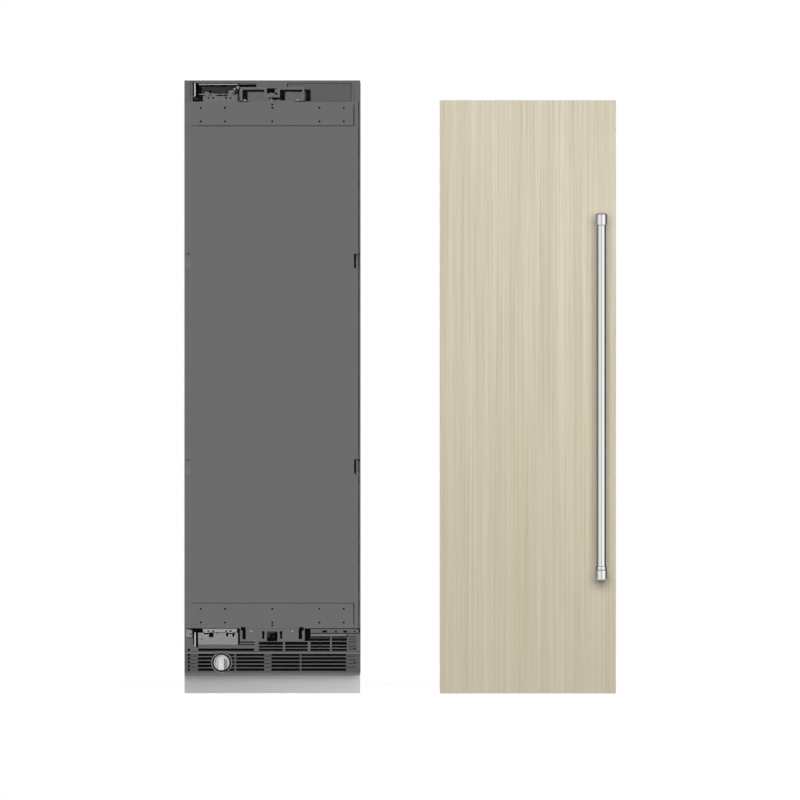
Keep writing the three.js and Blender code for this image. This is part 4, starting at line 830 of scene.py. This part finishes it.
def ice_bin_trim():
    """A white front rim with a finger lip on the ice bin."""
    low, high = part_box("ice_bin")
    x, half_lip, top = middle_of("ice_bin").x, 0.045, high.z - 0.001
    spans = between(low.y - 0.002, low.y - 0.0002, [(low.x + 0.003, high.x - 0.003, high.z - 0.02, top)])
    spans += between(low.y - 0.008, low.y - 0.0015, [(x - half_lip, x + half_lip, high.z - 0.0045, top)])
    blocks("ice_bin_rim", (body_of["ice_bin"], "white_plastic"), "white_plastic", spans, 0.0008)


def cover_beads():
    """Upright beads and screws on the evaporator's cover."""
    low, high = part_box("evaporator_cover")
    proud, half, inset, clear = 0.0012, 0.0035, 0.022, 0.03
    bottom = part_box("shelf_upper")[1].z + clear
    beads = [(x - half, x + half, bottom, high.z - clear) for x in (inset - high.x, high.x - inset)]
    white_part("cover_beads", "cabinet", low.y - proud, low.y - SKIN, beads, 0.0006)
    screw_inset, screw_shares = 0.012, (0.66, 0.82, 0.97)
    places = [(side * (high.x - screw_inset), low.y, low.z + share * (high.z - low.z))
              for side in (-1, 1) for share in screw_shares]
    screws("cover_screws", CASE_HINGE, places, 0.0035, 0.0012)


def touch_panel():
    """The control panel's dark glass with a plain bar of segments and four touch rings."""
    low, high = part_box("control_panel")
    inset, glass, z = 0.004, 0.0008, (low.z + high.z) / 2
    plates("panel_glass", CASE_BLACK, "display_glass", low.y - glass, low.y - SKIN,
           [(low.x + inset, high.x - inset, low.z + 0.002, high.z - 0.0025)])
    front = low.y - glass - SKIN
    width, half, pitch, count = 0.0055, 0.0012, 0.0075, 6
    starts = [(index - count / 2) * pitch for index in range(count)]
    segments = [(left, left + width, z - half, z + half) for left in starts]
    white_part("panel_segments", "cabinet", front, front + SKIN, segments, 0, material="light_diffuser")
    touch_ring = ring(0.0038, 0.0046, 0, SKIN)
    places = [(x, front, z) for x in (-0.068, -0.046, 0.046, 0.068)]
    turned("panel_touch_rings", CASE_WHITE, "white_plastic", touch_ring, places, "-y", ROUND // 2)


def ice_maker_cover():
    """The ice maker's drive cover with its seam, and the guard in front of its mould."""
    low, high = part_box("ice_maker")
    front, back, split, top = low.y + 0.012, low.y + 0.0118, low.x + 0.118, low.z + 0.112
    cover = (split, high.x - 0.004, low.z + 0.004, top - 0.004)
    guard = (low.x + 0.005, split - 0.003, low.z + 0.012, top - 0.03)
    white_part("ice_maker_drive_cover", "cabinet", front - 0.004, back, [cover], 0.002)
    white_part("ice_maker_guard", "cabinet", front - 0.003, back, [guard], 0.0015, material="grey_plastic")


# Door

def door():
    formed("door_pan", "door_sheet", edge=0.0006)
    formed("door_insulation", "foam", edge=0)
    formed("door_liner", "white_plastic", edge=0.002)
    gasket()
    for level in ("lower", "middle", "upper"):
        door_bin("door_bin_" + level)
    for end in ("upper", "lower"):
        formed(end + "_mounting_plate", "plate_sheet", edge=FINE_EDGE)
        formed(end + "_panel_bracket", "plate_sheet", edge=0.0004)


def door_bin(name):
    """A clear bin with a white retaining rail along its front rim."""
    formed(name, "clear_plastic", edge=0.0012)
    low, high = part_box(name)
    rail = (low.x + 0.002, high.x - 0.002, high.z - 0.019, high.z - 0.0005)
    white_part(name + "_rail", body_of[name], high.y - 0.0005, high.y + 0.003, [rail], 0.0012, 3)


def gasket():
    """The magnetic door seal: a soft hollow cushion on a flat foot, mitred at its corners."""
    low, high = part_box("door_gasket")
    width, depth = 0.014, high.y - low.y
    section_shares = ((0, 0), (0.04, 0.3), (0.2, 0.36), (0.1, 0.6), (0.12, 0.88), (0.22, 1.0), (0.78, 1.0),
                      (0.88, 0.88), (0.9, 0.6), (0.8, 0.36), (0.96, 0.3), (1.0, 0))
    shape = bmesh.new()
    loops = []
    for across, deep in section_shares:
        inset, y = across * width, low.y + deep * depth
        x, bottom, top = high.x - inset, low.z + inset, high.z - inset
        spots = ((-x, y, bottom), (x, y, bottom), (x, y, top), (-x, y, top))
        loops.append([shape.verts.new(spot) for spot in spots])
    for loop, following in zip(loops, loops[1:] + loops[:1]):
        for corner in range(4):
            other = (corner + 1) % 4
            shape.faces.new((loop[corner], loop[other], following[other], following[corner]))
    mounted(object_from("door_gasket_bellows", shape, "seal"), own["door_gasket"], "door_gasket")


def door_side_trims():
    """The door's top lip, and flat trims in two steps along its sides, open at the notches."""
    low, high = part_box("door_pan")
    height = high.z - low.z
    inner, outer, edge = 0.28, 0.2958, 0.3016
    strips = ((inner, outer, low.y - SKIN, low.y + 0.00195),
              (outer + SKIN, edge, low.y + 0.0035, low.y + 0.0148))
    notch_shares, notch_half = (0.307, 0.698), 0.025
    ends = [share * height + side * notch_half for share in notch_shares for side in (-1, 1)]
    cuts = [low.z, *(low.z + end for end in ends), high.z]
    spans = []
    for bottom, top in zip(cuts[::2], cuts[1::2]):
        for left, right, near, far in strips:
            spans += between(near, far, [(left, right, bottom, top), (-right, -left, bottom, top)])
    lip = (-outer, outer, high.z - 0.0002, high.z + 0.0017)
    sharp("door_top_lip", DOOR_STEEL, low.y + 0.0003, low.y + 0.004, [lip], "door_sheet")
    blocks("door_side_trims", DOOR_STEEL, "door_sheet", spans, edge=0)


def plate_marks():
    """The screw holes of both mounting plates as black discs, painted shade for their depth, and black lines
    along their inner and right edges, painted shadow of the plates' edges.
    """
    line, gap, corner, right = 0.0012, 0.0008, 0.011, 0.2783
    hole_shares, rows, middle_row = (-0.875, -0.577, 0, 0.577, 0.875), (0.02, 0.067), 0.009
    pan_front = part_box("door_pan")[0].y
    places, spans = [], []
    for end, up in (("upper", 1), ("lower", -1)):
        low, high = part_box(end + "_mounting_plate")
        outer = high.z if up > 0 else low.z
        places += [(share * high.x, low.y, outer - up * row) for share in hole_shares for row in rows]
        places.append((0, low.y, outer - up * middle_row))
        across = (low.z - 0.0022, low.z - gap) if up > 0 else (high.z + gap, high.z + 0.0022)
        upright = (low.z - line, high.z - corner) if up > 0 else (low.z + corner, high.z + line)
        spans += between(pan_front - MARK, pan_front - SKIN, [(-0.2736, right + 0.0005, *across)])
        spans += between(low.y - 0.0002, low.y - SKIN, [(right, right + line, *upright)])
    holes("plate_holes", DOOR_BLACK, places, 0.0034)
    blocks("plate_edge_shadow_lines", DOOR_BLACK, "matt_black", spans, edge=0)


BRACKET_SHEET = 0.003


def upper_bracket_trims():
    """The upper bracket's folded edges and the core in its middle, dark as painted shade, and the clip, foot,
    stud and bolts in its middle.
    """
    strip, loop, wall, fold = 0.0087, 0.027, 0.0012, 0.0002
    low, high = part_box("upper_panel_bracket")
    back, middle_depth = low.y + BRACKET_SHEET, low.y + 0.009
    bottom, top = low.z, high.z - strip
    loop_low = top - 0.021
    flanges = [(x - fold, x + wall, bottom + 0.0005, top) for x in (low.x + strip, high.x, loop)]
    flanges += [(low.x + strip, -loop, top - wall, top), (loop, high.x, top - wall, top),
                (-loop, loop, loop_low - wall, loop_low)]
    sharp("upper_bracket_flanges", DOOR_STEEL, back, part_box("top_fascia")[0].y - 0.002, flanges,
          "groove_and_shade_tone")
    core = (strip - loop, loop - strip, loop_low + strip, high.z - 0.004)
    sharp("upper_bracket_core", DOOR_BLACK, back + 0.001, back + 0.003, [core])
    clip_right = 0.0185
    clip = [(0.0095, clip_right, loop_low + 0.002, high.z - 0.006),
            (-0.011, clip_right, loop_low + 0.0005, loop_low + 0.01)]
    plates("upper_bracket_clip", DOOR_STEEL, "plate_sheet", low.y + 0.0004, back + 0.001, clip, edge=0.0006)
    foot = (low.x, high.x, bottom - 0.0002, bottom + 0.0048)
    plates("upper_bracket_foot", DOOR_STEEL, "plate_sheet", low.y, back, [foot], edge=0.0004)
    turned("upper_bracket_stud", DOOR_HINGE, "side_plate_steel", cylinder(0.0021, 0, 0.009),
           [(-0.0022, middle_depth, bottom + 0.004)], sides=SMALL_ROUND)
    head, shank, head_top, shank_top = 0.0062, 0.003, 0.004, 0.0062
    bolt = [(0, 0), (head, 0), (head, 0.0032), (0.0054, head_top), (shank, head_top), (shank, shank_top),
            (0, shank_top)]
    turned("upper_bracket_bolts", DOOR_HINGE, "bright_steel", bolt,
           [(x, middle_depth, bottom + BRACKET_SHEET) for x in (-0.0945, 0.088)], sides=6)


def lower_bracket_trims():
    """The lower bracket's hollows, its plate's notches and its core, dark as painted shade, and its hook,
    bridge and screws.
    """
    low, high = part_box("lower_panel_bracket")
    back, inset = low.y + BRACKET_SHEET, 0.006
    well = (low.x + inset, high.x - inset, low.z + inset, high.z - 0.002)
    spans = between(back + 0.0004, back + 0.0012, [well])
    tall, short = high.z - 0.0372, high.z - 0.008
    notches = [(-0.1022, -0.0915, tall, high.z), (-0.1075, -0.1022, short, high.z),
               (0.0915, 0.1015, tall, high.z), (0.1015, 0.1075, short, high.z)]
    spans += between(low.y - MARK, low.y - SKIN, notches)
    blocks("lower_bracket_well", DOOR_BLACK, "matt_black", spans, edge=0)
    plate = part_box("lower_mounting_plate")[0]
    notches = [(left, right, plate.z + 0.0002, plate.z + 0.0042)
               for left, right in ((-0.1075, -0.0915), (0.0915, 0.1075))]
    marks("plate_notches", DOOR_BLACK, plate.y, notches, proud=0.0002)
    arch = [(left, right, low.z + 0.0273, low.z + 0.0347)
            for left, right in ((-0.0345, -0.0262), (0.0254, 0.0337))]
    marks("lower_bracket_arch", DOOR_BLACK, low.y, arch)
    marks("lower_bracket_hollow", DOOR_BLACK, low.y, [(-0.0176, 0.0163, low.z + 0.0004, low.z + 0.034)])
    arms = ((-0.0172, -0.0085, 0.014, 0.033), (-0.0085, 0.0082, 0.027, 0.033), (0.0002, 0.0062, 0.015, 0.019))
    hook = [(left, right, low.z + foot, low.z + head) for left, right, foot, head in arms]
    sharp("lower_bracket_hook", DOOR_HINGE, low.y - 0.0005, low.y - MARK, hook, "dark_and_shaded_hinge_steel")
    bridge_foot, half_bridge, flush = high.z - 0.0105, 0.0375, 0.0002
    plates("lower_bracket_bridge", DOOR_STEEL, "plate_sheet", low.y + flush, back - flush,
           [(-half_bridge, half_bridge, bridge_foot, high.z - flush)])
    places = [(x, low.y, bridge_foot) for x in (-0.0712, 0.0696)]
    screws("lower_bracket_screws", DOOR_HINGE, places, 0.002, 0.0008)
    core = [(-0.004, 0.003, high.z - 0.022, high.z - 0.013), (-0.012, 0.012, high.z - 0.034, high.z - 0.031)]
    plates("lower_bracket_core", DOOR_HINGE, "groove_and_shade_tone", back - 0.002, back, core)


# Door panel and handle

def handle():
    """A round bar between two caps; each cap stands on a post with a rose on the panel."""
    low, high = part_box("handle_bar")
    middle = middle_of("handle_bar")
    turned("handle_bar_turned", own["handle_bar"], "handle_steel",
           cylinder((high.x - low.x) / 2, low.z, high.z), [(middle.x, middle.y, 0)], "z", 2 * ROUND,
           ["handle_bar"])
    handle_end("handle_end_upper", True, middle)
    handle_end("handle_end_lower", False, middle)


def handle_end(name, is_upper, middle):
    """A cap that is hollow towards the bar, its post and rose, a neck ring painted dark as the shade under
    the cap, and the lower collar.
    """
    low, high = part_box(name)
    radius, rim, bore, bore_depth = (high.x - low.x) / 2, 0.0172, 0.0163, 0.01
    end, cap, turn = (high.z, 0.0405, "-z") if is_upper else (low.z, 0.0355, "z")
    centre = (middle.x, middle.y, end)
    outline = [(0, 0), (radius - 0.006, 0), (radius - 0.0022, 0.0022), (radius, 0.0062), (radius, 0.0072),
               (radius, cap - 0.0016), (radius, cap - 0.001), (radius - 0.001, cap), (rim, cap), (bore, cap),
               (bore, cap - bore_depth), (0, cap - bore_depth)]
    shape = bmesh.new()
    add_turned(shape, outline, centre, turn)
    rose, post, reach = 0.017, 0.011, high.y - middle.y - 0.012
    post_z = end - cap / 2 if is_upper else end + cap / 2
    add_turned(shape, [(0, 0), (rose, 0), (rose, 0.003), (0.0155, 0.004), (0.013, 0.0045), (0.0112, 0.0065),
                       (post, reach), (0, reach)], (middle.x, high.y, post_z), "-y")
    mounted(object_from(name + "_turned", shape, "cap_steel"), own[name], name)
    inner, neck_radius, start, stop = 0.0165, 0.0177, cap + 0.0014, cap + 0.014
    turned(name + "_neck", own[name], "groove_and_shade_tone", ring(inner, neck_radius, cap, start), [centre], turn)
    if not is_upper:
        radius = 0.0193
        collar = [(inner, start), (radius - 0.0006, start), (radius, start + 0.0006), (radius, stop - 0.002),
                  (radius - 0.001, stop - 0.0004), (inner, stop), (inner, start)]
        turned(name + "_collar", own[name], "handle_steel", collar, [centre], turn, 2 * ROUND)


# Camera: the photograph's framing, with a long lens square to the front

PIXEL = 0.003435
IMAGE = 800
FREEZER_MIDDLE_PX = 272.24
FLOOR_PX = 693.63
CAMERA_DISTANCE = 60.0


def camera():
    data = bpy.data.cameras.new("camera")
    data.sensor_width = 36.0
    data.lens = data.sensor_width * CAMERA_DISTANCE / (IMAGE * PIXEL)
    data.clip_end = 100.0
    seen = bpy.data.objects.new("camera", data)
    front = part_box("door_pan")[0].y
    seen.location = ((IMAGE / 2 - FREEZER_MIDDLE_PX) * PIXEL, front - CAMERA_DISTANCE,
                     (FLOOR_PX - IMAGE / 2) * PIXEL)
    seen.rotation_euler = (math.pi / 2, 0, 0)
    bpy.context.scene.collection.objects.link(seen)
    bpy.context.scene.camera = seen


# Lights and floor

KEY_ANGLES = (-36, 13)
BASE_PIECES = ("base_fascia", "lower_grille", "lower_hinge_plate", "lower_hinge_arm", "lower_hinge_bar",
               "lower_hinge_well", "lower_channel", "pocket_line", "hinge_side", "service", "grille_",
               "dust_screens", "filter_knob", "knob_bezel")
OVERHANG_PIECES = ("door_pan_formed", "door_liner_formed", "lower_hinge_leaf_formed", "lower_bracket_well",
                   "lower_panel_bracket_formed", "lower_mounting_plate_formed", "lower_bracket_core",
                   "plate_notches", "lower_bracket_arch", "lower_bracket_hollow", "lower_bracket_hook",
                   "leaf_openings")
INSIDE_PIECES = ("inner_liner", "evaporator", "cover_", "shelf_", "drawer_", "ice_", "door_liner",
                 "door_bin")
# What polished metal sees round about: pairs of degrees right of the front, and brightness
SURROUND = ((-180, 0.12), (-95, 0.1), (-82, 0.26), (-64, 0.6), (-40, 0.86), (-14, 0.78), (2, 0.5),
            (12, 0.45), (22, 0.85), (34, 1.0), (64, 1.0), (80, 0.5), (96, 0.28), (140, 0.2), (180, 0.12))
AMBIENT = 0.025
CEILING = 0.3
# Suns for the sides that the photograph doesn't show: name, azimuth, elevation, strength, width in degrees
SIDE_SUNS = (("left_side", -105, 20, 0.9, 30), ("right_side", 112, 25, 1.6, 30), ("back", -160, 30, 1.8, 20),
             ("above", -150, 80, 0.8, 30))
# Suns that lift the toe kick
KICK_SUNS = (("kick_sky", 20, 57, 2.6, 80), ("kick_low", 10, 3, 0.2, 8))


def group_of(name, pieces):
    """A collection for light linking."""
    group = bpy.data.collections.new(name)
    for piece in pieces:
        group.objects.link(piece)
    return group


def lamp_of(name, kind, angles, settings, pieces, target=(0, 0, 1.0), reach=5.0):
    """A lamp on these pieces alone, so many degrees right of the front and so many degrees up."""
    turn, rise = (math.radians(angle) for angle in angles)
    direction = Vector((math.sin(turn) * math.cos(rise), -math.cos(turn) * math.cos(rise), math.sin(rise)))
    data = bpy.data.lights.new(name, kind)
    for key, value in settings.items():
        setattr(data, key, value)
    lamp = bpy.data.objects.new(name, data)
    lamp.location = Vector(target) + direction * reach
    lamp.rotation_euler = direction.to_track_quat("Z", "Y").to_euler()
    bpy.context.scene.collection.objects.link(lamp)
    lamp.light_linking.receiver_collection = group_of(name + "_receivers", pieces)
    return lamp


def sun(name, azimuth, elevation, energy, width, pieces):
    settings = {"energy": energy, "angle": math.radians(width)}
    return lamp_of(name, "SUN", (azimuth, elevation), settings, pieces)


def freezer_lamps(pieces):
    """A hard key lamp from the upper left, once for the base under the door, which lies clear of the
    door's shadow, and once for all the rest; then soft lamps for the sides, the back and the top."""
    strength, width = 2.9, 7
    base = [piece for piece in pieces if piece.name.startswith(BASE_PIECES)]
    rest = [piece for piece in pieces if piece not in base]
    sun("key", *KEY_ANGLES, strength, width, rest)
    base_key = sun("key_on_base", *KEY_ANGLES, strength, width, base)
    blockers = [piece for piece in pieces if piece.name not in OVERHANG_PIECES]
    base_key.light_linking.blocker_collection = group_of("key_on_base_blockers", blockers)
    for name, azimuth, elevation, energy, width in SIDE_SUNS:
        sun(name, azimuth, elevation, energy, width, pieces)


def panel_lamps(pieces, ground):
    """A wide soft lamp a little right of the panel's front, and weak ones for its side and its back."""
    settings = {"shape": "RECTANGLE", "size": 6.6, "size_y": 4.6, "energy": 590}
    panel_middle, reach = middle_of("wood_panel"), 7.0
    front = lamp_of("panel_front", "AREA", (3, 14), settings, pieces + [ground], panel_middle, reach)
    side = sun("panel_side", 105, 25, 1.2, 30, pieces)
    front.visible_glossy = side.visible_glossy = False
    sun("panel_back", -160, 30, 1.8, 20, pieces)


def world():
    """White where the camera sees it, dim for soft light, and a soft-box surround for reflections."""
    made = bpy.data.worlds.new("studio")
    made.use_nodes = True
    tree = made.node_tree
    way = node(tree, "ShaderNodeTexCoord").outputs["Generated"]
    axes = node(tree, "ShaderNodeSeparateXYZ", i0=way).outputs
    turn = maths(tree, "ARCTAN2", axes[0], maths(tree, "MULTIPLY", axes[1], -1.0))
    stops = node(tree, "ShaderNodeValToRGB", i0=ramp(tree, turn, -math.pi, math.pi, 0, 1))
    points = stops.color_ramp.elements
    while len(points) < len(SURROUND):
        points.new(0.5)
    for point, (degrees, level) in zip(points, SURROUND):
        point.position = (degrees + 180) / 360
        point.color = (level, level, level, 1)
    upward = ramp(tree, axes[2], 0.35, 0.75, 0, 1)
    overhead = mixed(tree, upward, stops.outputs[0], (CEILING, CEILING, CEILING))
    path = node(tree, "ShaderNodeLightPath").outputs
    level = mixed(tree, path["Is Glossy Ray"], (AMBIENT, AMBIENT, AMBIENT), overhead)
    level = mixed(tree, path["Is Camera Ray"], level, (1, 1, 1))
    tree.links.new(level, tree.nodes["Background"].inputs["Color"])
    bpy.context.scene.world = made


def floor():
    """A pale floor that fades to plain white away from the object; it lights nothing round it."""
    reach, near, far, glow, mirrored = 9.0, 1.6, 4.5, 0.92, 0.62
    seen_level, bounced_level = (0.5, 0.5, 0.5), (0.03, 0.03, 0.03)
    shape = bmesh.new()
    corners = ((-reach, -reach), (reach, -reach), (reach, reach), (-reach, reach))
    shape.faces.new([shape.verts.new((x, y, 0)) for x, y in corners])
    constants = {"Emission Color": (1, 1, 1, 1), "Specular IOR Level": 0.0}
    made = material_of("floor", seen_level, 0.95, 0.0, constants)
    tree = made.node_tree
    away = node(tree, "ShaderNodeVectorMath", {"operation": "LENGTH"}, i0=object_place(tree)).outputs[1]
    fade = ramp(tree, away, near, far, glow, 1.0)
    path = node(tree, "ShaderNodeLightPath").outputs
    seen = path["Is Camera Ray"]
    shown = maths(tree, "MAXIMUM", seen, maths(tree, "MULTIPLY", path["Is Glossy Ray"], mirrored))
    light = maths(tree, "MULTIPLY", fade, shown)
    tree.links.new(light, tree.nodes["Principled BSDF"].inputs["Emission Strength"])
    materials["floor"] = wire(made, mixed(tree, seen, bounced_level, seen_level))
    piece = object_from("floor", shape, "floor")
    return piece


def studio():
    """The lamps come last, because each lights only its own group of pieces."""
    bpy.context.scene.view_settings.view_transform = "Standard"
    world()
    ground = floor()
    kick = [bpy.data.objects["toe_kick_formed"]]
    freezer = [piece for body, pieces in pieces_on.items() if body != "door_panel" for piece in pieces
               if piece not in kick]
    freezer_lamps(freezer)
    panel_lamps(pieces_on["door_panel"], ground)
    for name, azimuth, elevation, energy, width in KICK_SUNS:
        sun(name, azimuth, elevation, energy, width, kick)
    sun("inside_fill", 12, 12, 1.3, 50, [piece for piece in freezer if piece.name.startswith(INSIDE_PIECES)])
    sun("knob_fill", 35, 15, 1.1, 30, [piece for piece in freezer if piece.name.startswith("filter_knob")])
    beside = {"shape": "DISK", "size": 0.5, "energy": 4.8}
    lamp_of("kick_side", "AREA", (48, 10), beside, kick, (0.28, 0, 0.04), 1.0)


camera()
case()
top_fascia()
hinges()
grilles()
chassis()
knob()
cold_space()
door()
door_side_trims()
plate_marks()
upper_bracket_trims()
lower_bracket_trims()
formed("wood_panel", "oak", edge=0)
handle()
studio()

bpy.context.view_layer.update()
